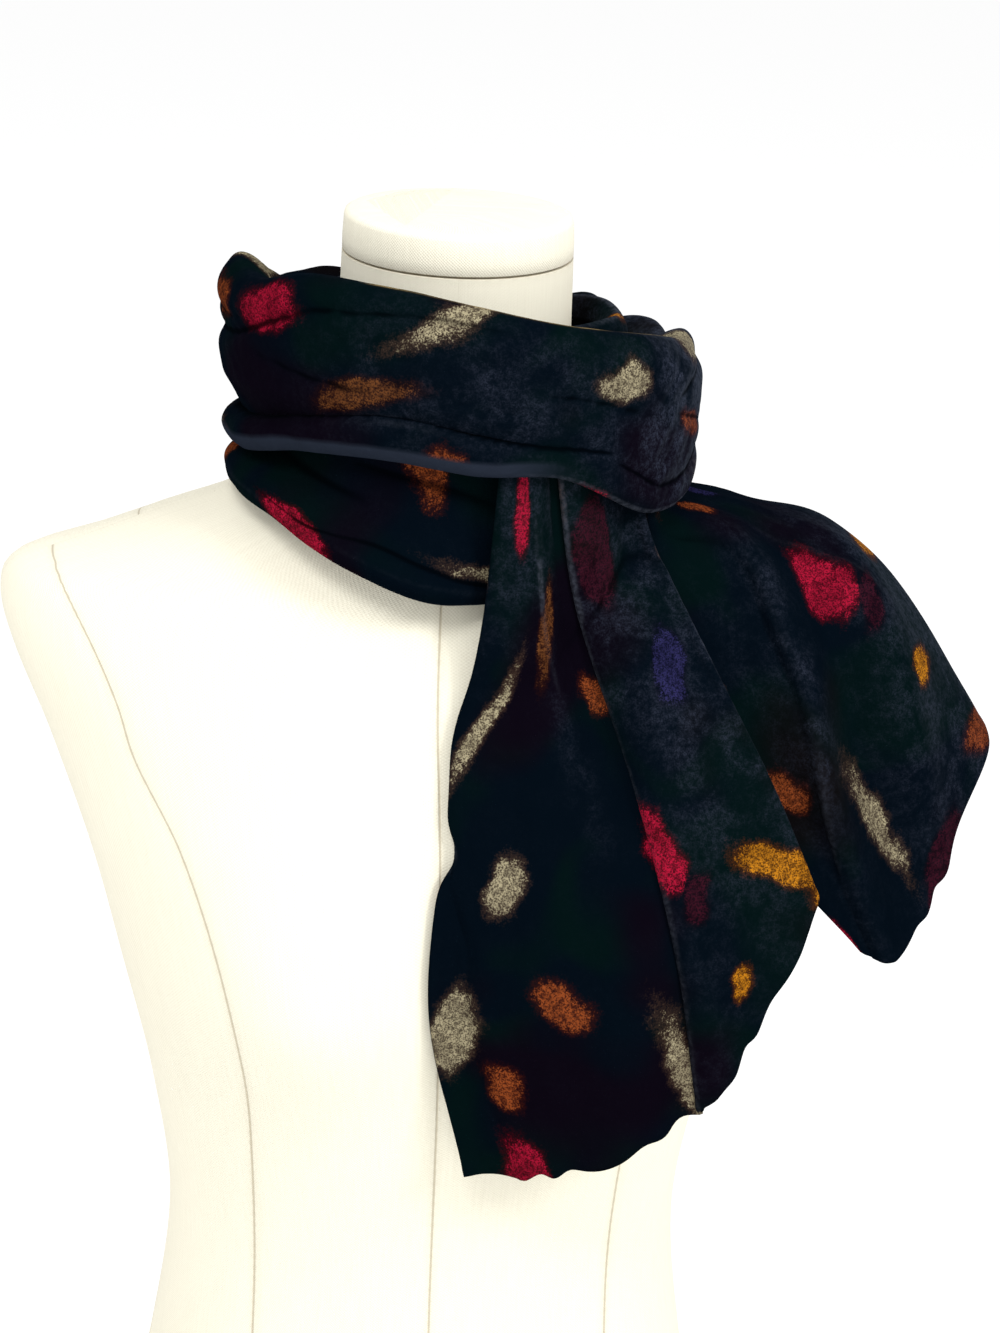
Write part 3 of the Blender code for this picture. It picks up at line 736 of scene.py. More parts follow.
# The upper wrap, the broad band round the outside
upperWrap = {
    "around": 432,
    "down": 110,
    "clothDown": 0.115,
    "repeats": 2,
    "printFrom": (0.006, 0.19),
    # turn, top, bottom, radius, tuck under, drawn in at the bottom
    "rings": (
        (-150, 0.682, 0.612, 0.098, 0.009, 0.0),
        (-120, 0.688, 0.6154, 0.101, 0.007, 0.0),
        (-97, 0.702, 0.627, 0.1055, 0.007, 0.002),
        (-75, 0.702, 0.629, 0.1015, 0.007, 0.001),
        (-50, 0.711, 0.6385, 0.098, 0.009, 0.0),
        (-22, 0.7105, 0.642, 0.096, 0.008, 0.0),
        (0, 0.7055, 0.639, 0.0975, 0.005, 0.0),
        (22, 0.698, 0.637, 0.099, 0.003, 0.0),
        (50, 0.689, 0.615, 0.102, 0.003, 0.0),
        (75, 0.679, 0.616, 0.104, 0.003, 0.0),
        (100, 0.672, 0.619, 0.104, 0.004, 0.0),
        (130, 0.671, 0.616, 0.102, 0.006, 0.0),
        (165, 0.676, 0.611, 0.098, 0.009, 0.0),
    ),
    "fullTuck": 0.009,
    # share of the way down, inset, 1 where it is measured from the top edge, lift
    "section": (
        (0.0, 0.0225, 1, -0.011),
        (0.11, 0.0165, 1, -0.003),
        (0.2, 0.008, 1, 0.0),
        (0.29, 0.001, 1, -0.009),
        (0.4, 0.0, 1, -0.021),
        (0.8, 0.0, 0, 0.015),
        (0.89, 0.0005, 0, 0.005),
        (0.945, 0.0045, 0, 0.0),
        (1.0, 0.009, 0, 0.002),
    ),
    "creases": (
        (0.0018, 0.003, 0.004, ((-52, 0.699), (-36, 0.7015), (-13, 0.7025), (1, 0.6995), (16, 0.692))),
        (0.0036, 0.0045, 0.0045, ((-160, 0.668), (-82, 0.677), (-50, 0.696), (-38, 0.701))),
        (0.0076, 0.016, 0.0036, ((-156, 0.632), (-110, 0.6375), (-96, 0.639), (-76, 0.643), (-40, 0.655))),
        (0.0042, 0.0065, 0.002, (
            (-116, 0.637), (-76, 0.643), (-48, 0.654), (-20, 0.661), (6, 0.653), (36, 0.645),
        )),
        (-0.0012, 0.004, 0.004, ((-108, 0.655), (-60, 0.66), (-20, 0.668), (20, 0.658))),
        (0.002, 0.004, 0.003, (
            (34, 0.643), (44, 0.633), (52, 0.6255), (62, 0.6245), (78, 0.63), (104, 0.638),
        )),
        (0.004, 0.005, 0.005, ((92, 0.65), (170, 0.642))),
        (0.003, 0.005, 0.005, ((120, 0.662), (205, 0.668))),
        (0.003, 0.005, 0.005, ((150, 0.632), (215, 0.64))),
        (0.0026, 0.0045, 0.0035, ((56, 0.66), (84, 0.668), (136, 0.664))),
        (0.001, 0.0035, 0.0035, ((-70, 0.676), (-18, 0.668))),
        (-0.0008, 0.005, 0.005, ((-34, 0.684), (22, 0.672))),
        (0.001, 0.0045, 0.004, ((4, 0.676), (30, 0.668), (56, 0.652))),
        (0.0014, 0.004, 0.003, ((58, 0.655), (86, 0.64))),
        (0.002, 0.0035, 0.0035, ((-118, 0.69), (-84, 0.684), (-66, 0.69))),
        (0.0016, 0.004, 0.004, ((-205, 0.655), (-150, 0.65))),
    ),
    # how far the cloth above the long crease hangs down over it
    "overhang": (
        (0.0026, 0.006, 0.0022, (
            (-140, 0.638), (-96, 0.6415), (-76, 0.6455), (-48, 0.6565), (-20, 0.6635), (26, 0.65),
        )),
    ),
    # the folds of its top rim: turn, spread, up, out. They fade out between two shares of the way down.
    "rim": (
        (-160, 9, -0.0015, -0.001),
        (-141, 8, 0.002, 0.0015),
        (-119, 6, -0.002, -0.001),
        (-96, 5.5, 0.0022, 0.001),
        (-66, 9, -0.0008, 0.001),
        (90, 6, 0.003, 0.0015),
        (101, 5, -0.002, -0.0022),
        (114, 7, 0.0012, 0.0024),
        (127, 4.5, -0.003, -0.003),
        (138, 6, 0.004, 0.003),
        (151, 6, -0.0022, -0.0024),
        (172, 9, 0.002, 0.001),
    ),
    "rimFades": (0.42, 0.14),
    # the strip along its rolled lower edge, where the nap lies smooth and is painted lighter as painted
    # sheen:
    # from turn, to turn, from share, to share, and how far it fades at each
    "strip": (-104, 27, 0.879, 0.962),
    "stripFades": (14, 22, 0.01, 0.014),
    # a painted highlight along its top rim: from turn, to turn, share, width, and how far its ends fade
    "rimEdgeGlint": (-34, 66, 0.182, 0.006, 8),
    "rippleRadius": 0.1,
    "ripples": ((0.00045, 0.034, 3), (0.00025, 0.013, 5)),
    # How the painted highlight on the top rim breaks up: wave, seed
    "glintBreaks": (0.03, 9),
    # Patches of painted sheen where the pile catches the light: a strength, then ramps
    "paintedSheen": (
        (0.03,),
        (0.207, ("turn", -60, 5), ("turn", 175, 80), ("share", 0.12, 0.42)),
        (0.253, ("turn", -60, 5), ("turn", 175, 80), ("share", 0.12, 0.42), ("share", 0.84, 0.74)),
        (0.95, ("turn", 38, 66), ("turn", 160, 110), ("share", 0.94, 0.84)),
    ),
}


def makeUpperWrap():
    made = upperWrap
    turns, shares = wrapGrid(made)
    top, bottom, radius, tuck, drawn = allRound(made["rings"], turns).T
    keys = [row[0] for row in made["section"]]
    outs = []
    ups = []
    for _, inset, fromTop, lift in made["section"]:
        outs.append(radius - (inset if fromTop else inset * tuck / made["fullTuck"] + drawn))
        ups.append((top if fromTop else bottom) + lift)
    out = eased(keys, outs, shares).T
    up = eased(keys, ups, shares).T
    turn = turns[:, None]
    share = shares[None, :]
    for at, spread, rise, reach in made["rim"]:
        fold = np.exp(-((turn - at) / spread) ** 2) * smooth(*made["rimFades"], share)
        up = up + rise * fold
        out = out + reach * fold
    out = out - creased(made["creases"], turn, up, allLaps)
    up = up - creased(made["overhang"], turn, up, allLaps)
    out = out + wrapRipples(made, turn, up)
    # The rolled lower edge, smooth and painted with sheen
    start, end, high, low = made["strip"]
    fadeIn, fadeOut, fadeDown, fadeUp = made["stripFades"]
    band = smooth(start, start + fadeIn, turn) * smooth(end, end - fadeOut, turn)
    band = band * smooth(high, high + fadeDown, share) * smooth(low, low - fadeUp, share)
    # A painted highlight along the top rim edge, broken up unevenly
    start, end, seamAt, seamWidth, fade = made["rimEdgeGlint"]
    angle = np.radians(turn)
    glintBreaks = ripple(made["rippleRadius"] * np.sin(angle), made["rippleRadius"] * np.cos(angle), *made["glintBreaks"])
    edge = smooth(start, start + fade, turn) * smooth(end, end - fade, turn) * (0.55 + 0.45 * glintBreaks)
    edge = np.clip(edge, 0, 1) * np.exp(-((share - seamAt) / seamWidth) ** 2)
    return makeWrap("neckWrapUpper", "neck_wrap_upper", made, out, up, band, edge)


# The lower wrap, which shows under the upper one at the left of the chest
lowerWrap = {
    "around": 384,
    "down": 84,
    "clothDown": 0.08,
    "repeats": 2,
    "printFrom": (0.064, 0.03),
    # turn, bottom, radius, share of the full tuck
    "rings": (
        (-150, 0.609, 0.084, 1.0),
        (-122, 0.609, 0.0905, 1.0),
        (-97, 0.6075, 0.1003, 0.5),
        (-78, 0.6085, 0.1003, 0.6),
        (-58, 0.6045, 0.098, 0.9),
        (-30, 0.59, 0.096, 1.0),
        (-12, 0.581, 0.0925, 1.0),
        (5, 0.577, 0.0815, 1.0),
        (22, 0.578, 0.0805, 1.0),
        (45, 0.593, 0.0805, 1.0),
        (75, 0.616, 0.082, 1.0),
        (105, 0.621, 0.083, 1.0),
        (140, 0.61, 0.083, 1.0),
        (175, 0.605, 0.082, 1.0),
    ),
    "topRadius": 0.076,
    "topHeight": 0.656,
    # share of the way down, share of the top's radius, inset, share of the top's height, lift
    "section": (
        (0.0, 1.0, 0.0, 1.0, 0.0),
        (0.28, 0.75, 0.0, 0.35, 0.012),
        (0.64, 0.0, 0.002, 0.0, 0.011),
        (0.82, 0.0, 0.001, 0.0, 0.005),
        (0.91, 0.0, 0.0045, 0.0, 0.0),
        (1.0, 0.0, 0.0095, 0.0, 0.002),
    ),
    "creases": (
        (0.0022, 0.004, 0.0026, (
            (-52, 0.608), (-38, 0.605), (-26, 0.602), (-12, 0.594), (6, 0.584), (26, 0.585),
        )),
        (-0.001, 0.003, 0.003, ((-88, 0.617), (-60, 0.611), (-44, 0.6))),
        (0.0025, 0.005, 0.005, ((-95, 0.634), (-30, 0.618))),
        (0.003, 0.006, 0.006, ((-170, 0.632), (-80, 0.636))),
        (0.003, 0.006, 0.006, ((130, 0.63), (215, 0.626))),
        (0.0022, 0.0034, 0.0028, ((-40, 0.634), (-9, 0.627), (14, 0.616))),
        (0.0012, 0.003, 0.003, ((-84, 0.622), (-52, 0.61), (-34, 0.6))),
    ),
    "rippleRadius": 0.09,
    "ripples": ((0.00035, 0.03, 7),),
    # Patches of painted sheen where the pile catches the light: a strength, then ramps
    "paintedSheen": ((0.03,), (0.2, ("share", 0.86, 0.93), ("turn", -30, 4))),
}


def makeLowerWrap():
    made = lowerWrap
    turns, shares = wrapGrid(made)
    bottom, radius, tuck = allRound(made["rings"], turns).T
    keys = [row[0] for row in made["section"]]
    outs = []
    ups = []
    for _, ofTop, inset, ofHeight, lift in made["section"]:
        outs.append(ofTop * made["topRadius"] + (1 - ofTop) * radius - inset * tuck)
        ups.append(ofHeight * made["topHeight"] + (1 - ofHeight) * (bottom + lift))
    out = eased(keys, outs, shares).T
    up = eased(keys, ups, shares).T
    turn = turns[:, None]
    share = shares[None, :]
    out = out - creased(made["creases"], turn, up, allLaps)
    out = out + wrapRipples(made, turn, up)
    return makeWrap("neckWrapLower", "neck_wrap_lower", made, out, up)


# The folds close to the neck, seen behind the upper wrap
innerWrap = {
    "around": 300,
    "down": 48,
    "clothDown": 0.034,
    "repeats": 1,
    "printFrom": (0.15, 0.1),
    # turn, top, radius
    "rings": (
        (-150, 0.687, 0.0668),
        (-100, 0.69, 0.069),
        (-50, 0.694, 0.068),
        (0, 0.694, 0.067),
        (40, 0.69, 0.068),
        (80, 0.686, 0.071),
        (110, 0.683, 0.072),
        (140, 0.681, 0.069),
        (170, 0.683, 0.0668),
    ),
    "puff": 0.0015,
    "puffs": 7,
    # across, inset, from the top
    "section": (
        (0.0, 0.009, -0.01),
        (0.009, 0.007, -0.003),
        (0.014, 0.003, 0.0),
        (0.02, 0.0, -0.006),
        (0.034, 0.001, -0.02),
    ),
    # Patches of painted sheen where the pile catches the light: a strength, then ramps
    "paintedSheen": ((0.05,), (0.35, ("turn", 40, 90), ("turn", 170, 130))),
}


def makeInnerWrap():
    made = innerWrap
    turns, shares = wrapGrid(made)
    top, radius = allRound(made["rings"], turns).T
    inset, fromTop = fromTable(made["section"], shares * made["clothDown"]).T
    turn = turns[:, None]
    share = shares[None, :]
    puff = made["puff"] * np.sin(np.radians(turn * made["puffs"])) * (1 - share)
    out = radius[:, None] - inset[None, :] + puff
    up = top[:, None] + fromTop[None, :] + puff
    return makeWrap("neckWrapInner", "neck_wrap_inner", made, out, up)


# The dress form, which the scarf's tails lie on
dressForm = {
    "around": 320,
    "levels": 236,
    # height, half width, front, back, middle, squareness
    "rows": (
        (0.012, 0.14, 0.098, 0.11, 0.004, 2.3),
        (0.06, 0.146, 0.101, 0.115, 0.004, 2.3),
        (0.11, 0.143, 0.1, 0.112, 0.004, 2.3),
        (0.17, 0.13, 0.094, 0.099, 0.004, 2.25),
        (0.25, 0.121, 0.088, 0.086, 0.004, 2.2),
        (0.32, 0.13, 0.098, 0.094, 0.004, 2.2),
        (0.385, 0.145, 0.106, 0.101, 0.004, 2.25),
        (0.435, 0.158, 0.104, 0.105, 0.006, 2.25),
        (0.49, 0.177, 0.093, 0.104, 0.009, 2.15),
        (0.53, 0.193, 0.082, 0.098, 0.011, 2.05),
        (0.553, 0.198, 0.074, 0.091, 0.013, 1.95),
        (0.567, 0.191, 0.068, 0.085, 0.013, 1.85),
        (0.577, 0.162, 0.064, 0.081, 0.013, 1.75),
        (0.589, 0.131, 0.06, 0.077, 0.012, 1.65),
        (0.599, 0.102, 0.057, 0.073, 0.011, 1.65),
        (0.611, 0.082, 0.054, 0.068, 0.01, 1.75),
        (0.626, 0.067, 0.052, 0.063, 0.009, 1.9),
        (0.64, 0.058, 0.051, 0.058, 0.007, 2.0),
        (0.66, 0.052, 0.05, 0.055, 0.005, 2.0),
        (0.71, 0.05, 0.05, 0.053, 0.003, 2.0),
    ),
    "axis": 0.004,
    "foot": 0.0124,
    "neckSeam": 0.7096,
    "seamUnderCap": 0.0004,
    "flank": 0.008,
    "centreFades": (0.64, 0.652),
    "flankFades": (0.5, 0.52),
    "seamAway": 0.02,
    # the soft hollow beside a seam: depth, reach
    "hollow": (0.0005, 0.0032),
    "bustHeight": 0.405,
    "bustSide": 0.072,
    "bustRise": 0.026,
    # how far it reaches up, down and to each side
    "bustReach": (0.062, 0.04, 0.04),
    "bustFront": 1.6,
    # height, then how far the princess seam and the front seam lie from the centre
    "frontSeams": (
        (0.012, 0.09, -0.001),
        (0.235, 0.082, -0.002),
        (0.328, 0.085, -0.003),
        (0.373, 0.09, -0.004),
        (0.421, 0.101, -0.005),
        (0.463, 0.117, -0.006),
        (0.497, 0.137, -0.007),
        (0.52, 0.145, -0.008),
        (0.543, 0.156, -0.008),
        (0.57, 0.173, -0.007),
        (0.593, 0.189, -0.006),
        (0.71, 0.23, -0.003),
    ),
    # height, then how far the seams on the back lie from the centre
    "backSeams": (
        (0.012, 0.075),
        (0.25, 0.062),
        (0.42, 0.082),
        (0.56, 0.12),
        (0.71, 0.24),
    ),
    "boardProfile": (
        (0.0, 0.006), (0.0006, 0.005), (0.002, 0.004), (0.0108, 0.004), (0.0116, 0.0045), (0.012, 0.0055),
    ),
    "capProfile": (
        (0.0, 0.001), (0.0003, 0.0003), (0.0008, 0.0), (0.006, 0.0), (0.015, 0.0005),
        (0.0165, 0.001), (0.0174, 0.0025), (0.0178, 0.0045), (0.018, 0.008),
    ),
    "capSeam": 0.71,
}


def bustRise(x, height):
    made = dressForm
    above, below, beside = made["bustReach"]
    reachUp = np.where(height > made["bustHeight"], above, below)
    level = np.exp(-0.5 * ((height - made["bustHeight"]) / reachUp) ** 2)
    side = np.exp(-0.5 * ((np.abs(x) - made["bustSide"]) / beside) ** 2)
    return made["bustRise"] * level * side


def formPlaces(heights, turns):  # a ring of the form's cover at each height; turn 0 faces the front
    columns = fromTable(dressForm["rows"], heights).T[..., None]
    halfWidth, front, back, middle, squareness = columns
    side = np.sin(turns)[None, :]
    ahead = np.cos(turns)[None, :]
    power = 2 / squareness
    x = halfWidth * np.sign(side) * np.abs(side) ** power
    facing = ahead > 0
    depth = np.where(facing, front + middle, back - middle)
    y = middle - depth * np.sign(ahead) * np.abs(ahead) ** power
    height = np.array(heights)[:, None] + 0 * x
    y = y - np.where(facing, bustRise(x, height) * np.minimum(1, dressForm["bustFront"] * ahead), 0)
    return np.stack([x, y, height], axis=-1)


def formFront(x, height):  # the form's front at those places, all at one height
    halfWidth, front, _, middle, squareness = fromTable(dressForm["rows"], height)[0]
    share = np.minimum(np.abs(x) / halfWidth, 0.995)
    ahead = (1 - share ** squareness) ** (1 / squareness)
    y = middle - (front + middle) * ahead
    return y - bustRise(x, height) * np.minimum(1, dressForm["bustFront"] * ahead ** (squareness / 2))


def closedRings(name, rings, material):
    levels, count = rings.shape[:2]
    i, j = np.meshgrid(np.arange(levels - 1), np.arange(count), indexing="ij")
    after = (j + 1) % count
    low = i * count
    high = low + count
    faces = np.stack([low + j, low + after, high + after, high + j], axis=-1)
    ends = [list(range(count - 1, -1, -1)), [(levels - 1) * count + k for k in range(count)]]
    piece = keepMesh(name, rings, faces.reshape(-1, 4).tolist() + ends, material)
    piece.data.set_sharp_from_angle(angle=math.radians(50))
    return piece


# How far each place is past each seam of the cover: down its centre, each side, its flanks and round the neck
def coverSeams(rings):
    x, y, height = (rings[..., k] for k in range(3))
    princess, centre = fromTable(dressForm["frontSeams"], height[:, 0]).T
    behind = fromTable(dressForm["backSeams"], height[:, 0]).T[0]
    facing = y < dressForm["flank"]
    side = y - dressForm["flank"]
    low, high = dressForm["centreFades"]
    past = x - np.where(facing, centre[:, None], 0)
    away = dressForm["seamAway"]
    past = past + np.where(past > 0, away, -away) * smooth(low, high, height)
    return {
        "seamCentre": past,
        "seamSide": np.abs(x) - np.where(facing, princess[:, None], behind[:, None]),
        "seamFlank": side + np.where(side > 0, away, -away) * smooth(*dressForm["flankFades"], height),
        "seamRim": dressForm["neckSeam"] - height + dressForm["seamUnderCap"],
    }


def ringFlat(rings, turns):  # places on the cover, measured round from the front and up
    reach = np.linalg.norm(np.roll(rings, -1, axis=1) - rings, axis=2).sum(axis=1)
    flat = np.zeros(rings.shape)
    flat[..., 0] = turns[None, :] / (2 * math.pi) * reach.mean()
    flat[..., 1] = rings[..., 2]
    return flat


def drawnIn(height, inset, at, turns):
    halfWidth, _, _, middle, _ = fromTable(dressForm["rows"], height)[0]
    ring = formPlaces([height], turns)[0]
    scale = 1 - inset / halfWidth
    ring[:, 0] *= scale
    ring[:, 1] = middle + (ring[:, 1] - middle) * scale
    ring[:, 2] = at
    return ring


def makeDressForm():
    made = dressForm
    turns = np.linspace(-math.pi, math.pi, made["around"], endpoint=False)
    heights = np.linspace(made["foot"], made["neckSeam"], made["levels"])
    rings = formPlaces(heights, turns)
    seams = coverSeams(rings)
    nearest = np.minimum(np.abs(seams["seamCentre"]), np.abs(seams["seamSide"]))
    depth, reach = made["hollow"]
    hollow = depth * np.exp(-(nearest / reach) ** 2)
    centred = rings - np.array([0, made["axis"], 0])
    centred[..., 2] = 0
    centred = centred / np.maximum(np.linalg.norm(centred, axis=2, keepdims=True), 1e-6)
    rings = rings - centred * hollow[..., None]
    body = closedRings("formBody", rings, linen)
    paint(body, "flat", "FLOAT_VECTOR", ringFlat(rings, turns))
    for name, past in seams.items():
        paint(body, name, "FLOAT", past)
    paint(body, "seamUp", "FLOAT", rings[..., 2])
    paint(body, "seamAround", "FLOAT", turns[None, :] * 0.05 + 0 * rings[..., 2])
    slotted(body, "dress_form_body")

    atSeam = made["capSeam"]
    cap = np.array([drawnIn(atSeam, inset, atSeam + up, turns) for up, inset in made["capProfile"]])
    capPiece = closedRings("formNeckCap", cap, linen)
    flat = ringFlat(cap, turns)
    paint(capPiece, "flat", "FLOAT_VECTOR", flat)
    for name in seams:
        past = cap[..., 2] - atSeam if name == "seamRim" else np.full(cap.shape[:2], made["seamAway"])
        paint(capPiece, name, "FLOAT", past)
    paint(capPiece, "seamUp", "FLOAT", cap[..., 2])
    paint(capPiece, "seamAround", "FLOAT", flat[..., 0])
    slotted(capPiece, "dress_form_neck_cap")

    board = np.array([drawnIn(made["foot"], inset, up, turns) for up, inset in made["boardProfile"]])
    boardPiece = closedRings("formBoard", board, boardWood)
    slotted(boardPiece, "dress_form_board")
    print("dress form made")


# The tail that hangs down the front
frontTail = {
    "across": 150,
    "down": 300,
    "printFrom": (0.012, 0.06),
    "length": 0.325,
    "top": 0.65,
    "topRadius": 0.086,
    "topHalfWidth": 0.07,
    "hangGap": 0.0027,
    "sideGap": 0.0173,
    "sideStarts": 0.05,
    "sideSpan": 0.04,
    "turnsBack": 0.095,
    "backShare": 0.68,
    "hangStep": 0.003,
    "mostSunk": 0.0005,
    "hangLean": 0.00005,
    "evenings": 14,
    # across, then x at the knot, a quarter, half and three quarters of the way, and at the hem,
    # the hem's height, and the rise off the form at the knot, halfway and at the hem
    "folds": (
        (0.0, 0.014, 0.0085, -0.004, -0.01, 0.0085, 0.3245, 0.002, 0.003, 0.002),
        (0.012, 0.018, 0.014, 0.002, 0.0, 0.019, 0.3245, 0.004, 0.004, 0.0),
        (0.026, 0.022, 0.021, 0.011, 0.01, 0.033, 0.328, 0.004, 0.005, 0.003),
        (0.062, 0.029, 0.034, 0.04, 0.047, 0.062, 0.337, 0.004, 0.007, 0.005),
        (0.095, 0.033, 0.044, 0.066, 0.083, 0.096, 0.355, 0.0, 0.001, 0.002),
        (0.107, 0.0375, 0.051, 0.0765, 0.0965, 0.1105, 0.36, 0.0, 0.0, 0.0),
        (0.114, 0.037, 0.05, 0.0755, 0.0955, 0.109, 0.361, 0.003, 0.0035, 0.003),
        (0.124, 0.042, 0.057, 0.082, 0.102, 0.117, 0.366, 0.005, 0.007, 0.005),
        (0.152, 0.055, 0.07, 0.097, 0.12, 0.1305, 0.393, 0.004, 0.006, 0.003),
        (0.176, 0.066, 0.079, 0.1055, 0.132, 0.1495, 0.431, 0.001, 0.001, 0.004),
        (0.188, 0.072, 0.083, 0.109, 0.1355, 0.158, 0.455, 0.002, 0.002, 0.002),
    ),
    "creases": (
        (0.0024, 0.006, 0.01, (
            (-0.04, 0.088), (0.037, 0.094), (0.076, 0.098), (0.117, 0.1), (0.23, 0.102),
        )),
        (0.001, 0.005, 0.007, ((0.02, 0.044), (0.06, 0.05), (0.15, 0.058))),
        (-0.0014, 0.006, 0.005, (
            (0.05, 0.06), (0.088, 0.067), (0.12, 0.078), (0.151, 0.082), (0.2, 0.092),
        )),
        (0.001, 0.008, 0.008, ((0.12, 0.044), (0.29, 0.04))),
        (0.0014, 0.003, 0.0022, (
            (0.18, 0.002), (0.201, 0.014), (0.222, 0.025), (0.25, 0.023), (0.33, 0.026),
        )),
        (-0.001, 0.006, 0.006, ((0.02, 0.13), (0.2, 0.142))),
        (0.0012, 0.005, 0.005, ((0.05, 0.16), (0.19, 0.166))),
        (-0.0008, 0.007, 0.007, ((0.15, 0.08), (0.3, 0.078))),
        (0.001, 0.006, 0.005, ((0.17, 0.12), (0.3, 0.14))),
    ),
    # where its left edge goes in, or out by a minus: along, spread, reach across, inward
    "nicks": ((0.545, 0.03, 0.01, 0.0062), (0.4, 0.06, 0.02, -0.003)),
    "steps": (
        (0.002, 0.0014, 0.03, -1, (
            (0.178, 0.001), (0.201, 0.013), (0.222, 0.024), (0.25, 0.022), (0.345, 0.026),
        )),
    ),
    "ripples": ((0.00035, 0.04, 11),),
    # how the seam draws up the hem: reach, size, wave, seed
    "pucker": (0.01, 0.0009, 0.021, 2),
    # the ridge that catches the light: across where it starts, lean, from, to, half width
    "litRidge": (0.062, 0.19, 0.06, 0.2, 0.006),
    # Patches of painted sheen where the pile catches the light: a strength, then ramps
    # leaned is across plus a little near the knot, and lowered is along plus half of across
    "paintedSheen": (
        (0.02,),
        (0.12, ("across", 0.104, 0.122)),
        (0.5, ("across", 0.104, 0.122), ("along", 0.3, 0.12), ("leaned", 0.105, 0.15)),
        (0.5, ("across", -0.006, 0.012), ("across", 0.094, 0.082), ("lowered", 0.13, 0.06)),
        (0.35, ("ridge",), ("along", 0.05, 0.09), ("along", 0.2, 0.15)),
    ),
}


def evened(values, passes):  # takes the small steps out of a line, keeping its ends
    values = values.copy()
    for turn in range(passes):
        values[:, 1:-1] = (values[:, :-2] + 2 * values[:, 1:-1] + values[:, 2:]) / 4
        if turn % 2:
            values[1:-1] = (values[:-2] + 2 * values[1:-1] + values[2:]) / 4
    return values


def hang(x, heights):  # cloth that hangs plumb over the form's front from the knot down
    made = frontTail
    over = x - made["backShare"] * np.maximum(x - made["turnsBack"], 0)
    starts = made["sideStarts"]
    gap = made["hangGap"] + made["sideGap"] * smooth(starts, starts + made["sideSpan"], x)
    across = np.minimum(x, made["topHalfWidth"]) - wrapCentreX
    out = -np.sqrt(made["topRadius"] ** 2 - across ** 2)
    level = made["top"]
    lowest = heights.min()
    while level > lowest:
        step = min(made["hangStep"], level - lowest)
        reached = np.maximum(level - step, heights)
        moving = heights < level
        front = formFront(over, level - step) - gap
        partly = np.clip((level - reached) / step, 0, 1)
        new = np.minimum(out + made["hangLean"] * partly, np.where(partly >= 1, front, out + 1))
        out = np.where(moving, new, out)
        level -= step
    return out


# A hem drawn up by its seam: small uneven waves that die away, and weaker where the cloth lies in close folds
def puckered(middle, flat, reach, size, wave, seed):
    across = flat[..., 0]
    spread = np.linalg.norm(np.gradient(middle, axis=0), axis=2) / np.gradient(across, axis=0)
    size = size * smooth(0.25, 0.95, spread)
    fromStart, _ = fromEnds(middle, 1)
    toHem = fromStart[:, -1:] - fromStart
    phase = across * 2 * math.pi / wave + 1.3 * np.sin(across * 2 * math.pi / (wave * 2.7) + seed)
    near = np.exp(-toHem / reach)
    normal = outward(middle, False)
    run = runs(middle, 1, False)
    run = run / np.linalg.norm(run, axis=2, keepdims=True)
    wave = np.sin(phase) * (0.75 + 0.25 * np.sin(phase * 0.37 + seed))
    scallop = np.exp(-toHem / (2 * reach)) * np.cos(phase * 0.93)
    return middle + normal * (size * near * wave)[..., None] + run * (size * 1.5 * scallop)[..., None]


def tailGrid(made):  # how far across the cloth, and shares of the way to the hem
    width = made["folds"][-1][0]
    across = crowded(made["across"], width, clothMake["rim"]) * width
    return across, crowded(made["down"], made["length"], clothMake["rim"])


def tailFlat(across, middle):  # where each place lies on the flat cloth
    run = fromEnds(middle, 1)[0]
    return np.stack([across[:, None] + 0 * run, run], axis=-1)


def makeTail(name, node, made, middle, flat, **fields):
    paintedSheen = sheenPatches(made["paintedSheen"], across=flat[..., 0], along=flat[..., 1], **fields)
    piece = makeCloth(name, middle, flat + np.array(made["printFrom"]), paintedSheen, False)
    slotted(piece, node)
    return piece


def makeFrontTail():
    made = frontTail
    across, along = tailGrid(made)
    *places, hemHeight, riseKnot, riseHalf, riseHem = fromTable(made["folds"], across).T
    x = eased((0, 0.25, 0.5, 0.75, 1), places, along).T
    rise = eased((0, 0.5, 1), (riseKnot, riseHalf, riseHem), along).T
    heights = made["top"] + (hemHeight[:, None] - made["top"]) * along[None, :]
    for at, spread, reach, inward in made["nicks"]:
        nick = np.exp(-((along - at) / spread) ** 2)
        x = x + inward * nick[None, :] * np.exp(-across / reach)[:, None]
    hung = evened(hang(x, heights), made["evenings"])
    middle = np.stack([x, hung - rise, heights], axis=-1)
    flat = tailFlat(across, middle)
    u, run = (flat[..., k] for k in range(2))
    lift = rippled(made["ripples"], u, run) - creased(made["creases"], run, u)
    lift = lift - stepped(made["steps"], run, u)
    middle[..., 1] = np.minimum(middle[..., 1] - lift, hung + made["mostSunk"])
    middle = puckered(middle, flat, *made["pucker"])
    start, lean, high, low, halfWidth = made["litRidge"]
    ridge = np.exp(-((u - start - lean * np.clip(run - high, 0, low - high)) / halfWidth) ** 2)
    leaned = u + 0.25 * smooth(0.14, 0.0, run)
    fields = {"leaned": leaned, "lowered": run + 0.5 * u, "ridge": ridge}
    return makeTail("frontTail", "front_tail", made, middle, flat, **fields)


